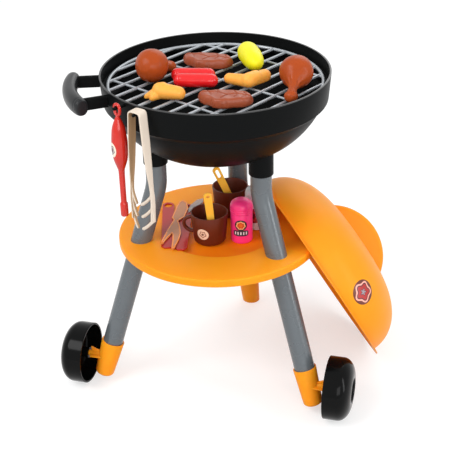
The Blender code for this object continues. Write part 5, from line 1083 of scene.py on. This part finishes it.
class BARBECUE_OT_tableware(bpy.types.Operator):
    """Two brown mugs with yellow cutlery, the pink bottle and the white shaker"""

    bl_idname = "barbecue.tableware"
    bl_label = "Mugs and bottles"

    def execute(self, context):
        self.mug("front", (-0.0070, -0.0300), 190)
        self.mug("back", (0.0010, 0.0642), 35)
        self.cutlery()
        self.bottle("sauce_bottle", "Hot pink plastic", 0.0409, -0.0174)
        self.bottle("shaker", "White plastic", 0.0525, 0.0300)
        return {"FINISHED"}

    def mug(self, name, centre, turn):
        """Flared cup with a rolled lip, and an ear whose centre line is half an ellipse."""
        foot = corner(0.0190, 0.0062, 0.0062, 0.0062, 7, -1, 0)
        profile = np.concatenate(([(0, 0)], foot, [(0.0290, 0.0488), (0.0288, 0.0493), (0.0282, 0.0494),
                (0.0273, 0.0493), (0.0270, 0.0488), (0.0230, 0.0052), (0.0221, 0.0032), (0.0200, 0.0021),
                (0, 0.0020)]))
        ear_z, ear_half, ear_reach, mug_high = 0.028, 0.0125, 0.0141, 0.0494
        bend = math.pi / 2 * np.linspace(-1, 1, 33)
        height = ear_z + ear_half * np.sin(bend)
        reach = 0.0245 + 0.0045 * height / mug_high + ear_reach * np.cos(bend) - 0.0012
        ear = sweep(np.stack((reach, 0 * reach, height), 1), (0, -1, 0), 0.0027, 0.0036, 24, 0.8)
        place = dict(location=(*centre, WELL_Z), x=out(math.radians(turn)))
        toy("mug_" + name, "cup", [placed(turned(profile, 96), **place), placed(ear, **place)],
            "Dark brown plastic", crease=50)
        if name == "front":
            cream = (0.82, 0.60, 0.44)
            ink = printed("Mug rosette print", [(0.0, (0.10, 0.012, 0.010)), (0.20, cream),
                    (0.44, (0.16, 0.020, 0.014)), (0.56, cream)], (0.86, 0.66, 0.50), 0.4, 5, 0.07)
            wall = [(0.0290, 0.0488), (0.0247, 0.003)]
            sticker, uv = patch(wall, math.radians(-98), 0.0265, 0.0095, 0.0095)
            sticker = placed(sticker, (*centre, WELL_Z))
            add_piece("mug_front_sticker", [sticker], ink, "mug_front_body", uv=uv, slot="dark_brown")

    def cutlery(self):
        """Flat strips with rounded tops: plates with one hole, stood in the mugs."""
        view = np.array([-0.24, 0.84, -0.48])
        floor = WELL_Z + 0.002 + GAP
        rows = (("front", (0.0020, -0.0400, floor + 0.0007), (-0.030, -0.185, 0.962), 0.0, 0.095),
            ("back", (0.0145, 0.0582, floor + 0.0021), (-0.277, -0.290, 0.911), 0.012, 0.100))
        for name, foot, lean, slot, length in rows:
            half, low, thick, hole_r = 0.00625, 0.0050, 0.0028, 0.0025
            turn = np.linspace(0, math.pi, 17)
            arc = np.stack((half * np.cos(turn), length - half + half * np.sin(turn)), 1)
            left = np.stack((np.linspace(-half, -low, 9)[1:], np.linspace(length - half, 0, 9)[1:]), 1)
            right = np.stack((np.linspace(low, half, 8)[:-1], np.linspace(0, length - half, 8)[:-1]), 1)
            outline = np.concatenate((arc, left, right))
            around = circle(len(outline))
            rise = hole_r * np.sin(around) - slot * (np.sin(around) < 0)
            hole = np.stack((hole_r * np.cos(around), length - 1.2 * half + rise), 1)
            strip = holed_slab(outline, hole, thick, 0.0006)
            axis = np.asarray(lean) / np.linalg.norm(lean)
            across = np.cross(axis, view)
            across /= np.linalg.norm(across)
            wide, long, deep = (strip[0][:, column:column + 1] for column in range(3))
            points = wide * across + long * axis + (deep - thick / 2) * np.cross(across, axis)
            flat_shading(toy("cutlery_" + name, "strip", [(points + foot, strip[1])],
                    "Cutlery yellow plastic", crease=50))

    def bottle(self, name, plastic, x, y):
        """Cylinder with a soft foot under a domed cap with a fine parting line."""
        foot = corner(0.014, 0.003, 0.003, 0.003, 7, -1, 0)
        body = np.concatenate(([(0, 0)], foot, [(0.017, 0.0484), (0.0166, 0.0490), (0.0120, 0.0490),
                (0.0120, 0.0556), (0.0100, 0.056), (0.0100, 0.0470), (0.0150, 0.0440), (0.0150, 0.0020),
                (0, 0.0020)]))
        rings = curve_through([(0.0172, 0.0004), (0.0176, 0.0016), (0.0172, 0.0030), (0.0170, 0.0036),
                (0.0175, 0.0046), (0.0176, 0.0056), (0.0172, 0.0066), (0.0171, 0.0074), (0.0176, 0.0086),
                (0.0175, 0.0096)], 5)[:-1]
        dome = curve_through([(0.0175, 0.0096), (0.01700, 0.0125), (0.0150, 0.0165), (0.0105, 0.0196),
                (0.0055, 0.0208), (0.0, 0.0210)], 8)
        cap = np.concatenate(([(0, 0.0073), (0.0123, 0.0073), (0.0123, 0.0), (0.0168, 0.0)], rings, dome))
        toy(name, "vessel", [placed(turned(body, 64), (x, y, WELL_Z))], plastic)
        cap = placed(turned(cap, 64), (x, y, WELL_Z + 0.0493))
        add_piece(name + "_lid", [cap], plastic, name + "_body", (name + "_cap",))
        self.label(name, x, y)

    def label(self, name, x, y):
        """Round rosette print over a bar of plain ticks, both bent round the bottle's wall."""
        wall = [(0.017, 0.048), (0.017, 0.003)]
        if name == "sauce_bottle":
            turn = math.radians(-80)
            rosette = printed("Sauce rosette print",
                [(0.0, (0.80, 0.130, 0.020)), (0.32, (0.62, 0.060, 0.012)), (0.56, (0.95, 0.52, 0.22)),
                 (0.74, (0.030, 0.018, 0.030))], (0.030, 0.018, 0.030), 0.35, 7, 0.05)
            bar = ticked("Sauce tick print", (0.78, 0.76, 0.78), (0.022, 0.018, 0.034))
            spots = (("rosette", 0.0152, 0.0098, 0.0092, 1.0, rosette),
                     ("ticks", 0.0288, 0.0122, 0.0050, 0.45, bar))
        else:
            turn = math.radians(-92)
            rosette = printed("Shaker rosette print",
                [(0.0, (0.10, 0.006, 0.008)), (0.40, (0.52, 0.030, 0.026)), (0.70, (0.20, 0.010, 0.010))],
                (0.36, 0.020, 0.020), 0.35, 6, 0.12)
            spots = (("rosette", 0.0220, 0.0100, 0.0125, 0.6, rosette),)
        for kind, along, half_wide, half_high, power, ink in spots:
            surface, uv = patch(wall, turn, along, half_wide, half_high, power)
            add_piece("%s_%s" % (name, kind), [placed(surface, (x, y, WELL_Z))], ink, name + "_body",
                uv=uv, slot=NODE_SLOTS[name])


class BARBECUE_OT_utensils(bpy.types.Operator):
    """Flat red utensils, the orange fork and the clear piece on the shelf"""

    bl_idname = "barbecue.utensils"
    bl_label = "Flat utensils"

    def execute(self, context):
        floor = SHELF_Z + GAP
        half, length, thick, edge, start_x, hole_r = 0.0095, 0.1494, 0.0024, 0.0004, 0.0057, 0.0065
        turn = np.linspace(-math.pi / 2, math.pi / 2, 17)
        arc = np.stack((length - half + half * np.cos(turn), half * np.sin(turn)), 1)
        start = np.array([(start_x, half), (0.0, half * 0.55), (0.0, -half * 0.55), (start_x, -half)])
        sides = [np.stack((np.linspace(length - half, start_x, 7)[1:-1], np.full(5, half)), 1),
            np.stack((np.linspace(start_x, length - half, 7)[1:-1], np.full(5, -half)), 1)]
        outline = np.concatenate((arc, sides[0], start, sides[1]))
        around = circle(len(outline))
        hole = np.stack((length - 0.01045 + hole_r * np.cos(around), hole_r * np.sin(around)), 1)
        outline = np.roll(outline, -8, 0)
        plate = holed_slab(outline, hole, thick, edge)
        rows = (("outer", (-0.05947, -0.08248), 107.3), ("inner", (-0.03806, -0.08380), 103.0))
        for name, tip, degrees in rows:
            surface = placed(plate, (*tip, floor), x=out(math.radians(degrees)))
            flat_shading(add_piece("utensil_" + name, [surface], "Utensil red plastic",
                    "red_utensil_%s_body" % name, ("red_utensil_" + name,), crease=50))
        upper = floor + thick + GAP
        fork = SHELF_R * np.array([(-0.512, 0.435), (-0.536, 0.395), (-0.539, 0.291), (-0.510, 0.042),
                (-0.478, 0.004), (-0.476, -0.207), (-0.462, -0.461), (-0.435, -0.487), (-0.430, -0.421),
                (-0.409, -0.257), (-0.364, -0.398), (-0.324, -0.561), (-0.298, -0.535), (-0.304, -0.384),
                (-0.324, -0.245), (-0.377, -0.110), (-0.428, -0.004), (-0.389, 0.091), (-0.409, 0.276),
                (-0.456, 0.388)])
        outline = self.filled(fork, 4)
        area = placed(slab(outline, 0.0022, edge), (0, 0, upper))
        flat_shading(toy("fork", "plate", [area], "Amber plastic", crease=50))
        rim = np.concatenate((outline, outline[:1]))
        inner = rim + 0.0011 * inward_normals(outline)[np.r_[0:len(outline), 0]]
        bead = sweep(np.column_stack((inner, np.full(len(inner), upper + 0.0021))), (0, 0, 1), 0.0012,
            0.0006, 12)
        add_piece("fork_rim", [bead], "Fork rim orange", "fork_body", slot=NODE_SLOTS["fork"])
        sheet = SHELF_R * np.array([(-0.382, 0.195), (-0.406, 0.278), (-0.407, 0.352), (-0.376, 0.478),
                (-0.319, 0.526), (-0.299, 0.438), (-0.345, 0.302)])
        surface = placed(slab(self.filled(sheet, 4), 0.0020, edge), (0, 0, upper))
        flat_shading(add_piece("clear_plate", [surface], "Clear plastic", "clear_utensil_body",
                ("clear_utensil",), crease=50))
        return {"FINISHED"}

    def filled(self, corners, steps):
        """Equal points on each side of a closed outline."""
        share = np.linspace(0, 1, steps, endpoint=False)[None, :, None]
        return (corners[:, None] * (1 - share) + np.roll(corners, -1, 0)[:, None] * share).reshape(-1, 2)


class BARBECUE_OT_stage(bpy.types.Operator):
    """White floor and surround, soft lamps and the camera"""

    bl_idname = "barbecue.stage"
    bl_label = "Stage"

    def execute(self, context):
        scene = context.scene
        far = 30.0
        floor_points = np.array([[[x, y, 0.0] for x in (-far, far)] for y in (-far, far)])
        verts, faces = grid(floor_points, columns_close=False)
        mesh = bpy.data.meshes.new("floor")
        mesh.from_pydata(verts.tolist(), [], faces.tolist())
        floor = bpy.data.objects.new("floor", mesh)
        scene.collection.objects.link(floor)
        mesh.materials.append(self.white_floor())
        self.surround(scene)
        self.lamps(scene)
        self.camera(scene)
        scene.view_settings.view_transform = "Standard"
        return {"FINISHED"}

    def seen_directly(self):
        """Rows that end in seen: one where the ray is a camera, glossy or transmission ray, else zero."""
        return [("ray", "ShaderNodeLightPath", {}, {}),
                ("first", *step("MAXIMUM", ("ray", "Is Camera Ray"), ("ray", "Is Glossy Ray"))),
                ("seen", *step("MAXIMUM", ("first", "Value"), ("ray", "Is Transmission Ray")))]

    def white_floor(self):
        """White sweep that keeps the shadow: a pale diffuse floor with a lift that only direct rays see."""
        return material_from("White sweep", self.seen_directly() + [
            ("lift", *step("MULTIPLY", ("seen", "Value"), FLOOR_LIFT)),
            (SHADER, None, {}, {"Base Color": (FLOOR_WHITE, FLOOR_WHITE, FLOOR_WHITE, 1),
                                "Roughness": 1.0, "Specular IOR Level": 0.0, "Emission Color": (1, 1, 1, 1),
                                "Emission Strength": ("lift", "Value")})])[0]

    def surround(self, scene):
        """White where a direct ray meets it, and a plain grey light for everything else."""
        world = bpy.data.worlds.new("Soft surround")
        scene.world = world
        world.use_nodes = True
        wired(world.node_tree, self.seen_directly()
            + [("strength", *step("MULTIPLY_ADD", ("seen", "Value"), 1 - SURROUND_GREY, SURROUND_GREY)),
                ("Background", None, {}, {"Color": (1, 1, 1, 1), "Strength": ("strength", "Value")})])

    def lamps(self, scene):
        """Key, fill and back lamps, and a tall narrow one that draws the highlights."""
        rows = (("key", (-1.3, -1.6, 2.3), (1.4, 1.4), 38.0), ("fill", (0.9, -1.9, 1.0), (1.4, 1.0), 16.0),
                ("strip", (1.9, -0.45, 0.9), (0.35, 1.6), 12.0),
                ("back", (0.3, 2.0, 1.8), (1.6, 1.6), 12.0))
        for name, place, (wide, tall), power in rows:
            lamp = bpy.data.lights.new(name, "AREA")
            lamp.shape = "RECTANGLE"
            lamp.size, lamp.size_y = wide, tall
            lamp.energy = power
            item = bpy.data.objects.new(name, lamp)
            item.location = Vector(place) + Vector(AXIS)
            aim = Vector((0, 0, 0.3)) + Vector(AXIS) - item.location
            item.rotation_euler = aim.to_track_quat("-Z", "Y").to_euler()
            scene.collection.objects.link(item)

    def camera(self, scene):
        """Long lens at the photograph's viewing angle."""
        turn, rise, roll = (math.radians(part) for part in CAMERA_TURN)
        back = Vector((math.sin(turn) * math.cos(rise), -math.cos(turn) * math.cos(rise), math.sin(rise)))
        right = Vector((math.cos(turn), math.sin(turn), 0))
        up = back.cross(right)
        right_rolled = math.cos(roll) * right + math.sin(roll) * up
        up_rolled = -math.sin(roll) * right + math.cos(roll) * up
        lens = bpy.data.cameras.new("camera")
        lens.sensor_width = 36.0
        lens.lens = LENS
        lens.clip_end = 200.0
        item = bpy.data.objects.new("camera", lens)
        turned_matrix = Matrix((right_rolled, up_rolled, back)).transposed().to_4x4()
        item.matrix_world = Matrix.Translation(Vector(CAMERA_PLACE) + Vector(AXIS)) @ turned_matrix
        scene.collection.objects.link(item)
        scene.camera = item


class BARBECUE_PT_panel(bpy.types.Panel):
    """Sidebar panel that lists the pieces, the sizes and the colours"""

    bl_idname = "BARBECUE_PT_panel"
    bl_label = "Toy kettle barbecue"
    bl_space_type = "VIEW_3D"
    bl_region_type = "UI"
    bl_category = "Barbecue"

    def draw(self, context):
        layout = self.layout
        for settings in (context.scene.barbecue_sizes, context.scene.barbecue_colours):
            for key in settings.bl_rna.properties.keys():
                if key not in ("rna_type", "name"):
                    layout.prop(settings, key)
        for operator in OPERATORS:
            layout.operator(operator.bl_idname)


OPERATORS = (BARBECUE_OT_bowl, BARBECUE_OT_grate, BARBECUE_OT_handle, BARBECUE_OT_legs, BARBECUE_OT_shelf,
    BARBECUE_OT_feet, BARBECUE_OT_wheels, BARBECUE_OT_lid, BARBECUE_OT_food, BARBECUE_OT_tools,
    BARBECUE_OT_tableware, BARBECUE_OT_utensils, BARBECUE_OT_stage)
CLASSES = (BarbecueColours, BarbecueSizes, *OPERATORS, BARBECUE_PT_panel)


def register():
    """Register the classes and hang the settings on the scene."""
    for kind in CLASSES:
        bpy.utils.register_class(kind)
    bpy.types.Scene.barbecue_colours = PointerProperty(type=BarbecueColours)
    bpy.types.Scene.barbecue_sizes = PointerProperty(type=BarbecueSizes)


def unregister():
    """Take the settings and the classes away again."""
    del bpy.types.Scene.barbecue_sizes
    del bpy.types.Scene.barbecue_colours
    for kind in reversed(CLASSES):
        bpy.utils.unregister_class(kind)


def main():
    """Build every piece in order."""
    register()
    for operator in OPERATORS:
        group, name = operator.bl_idname.split(".")
        getattr(getattr(bpy.ops, group), name)()


if __name__ == "__main__":
    main()
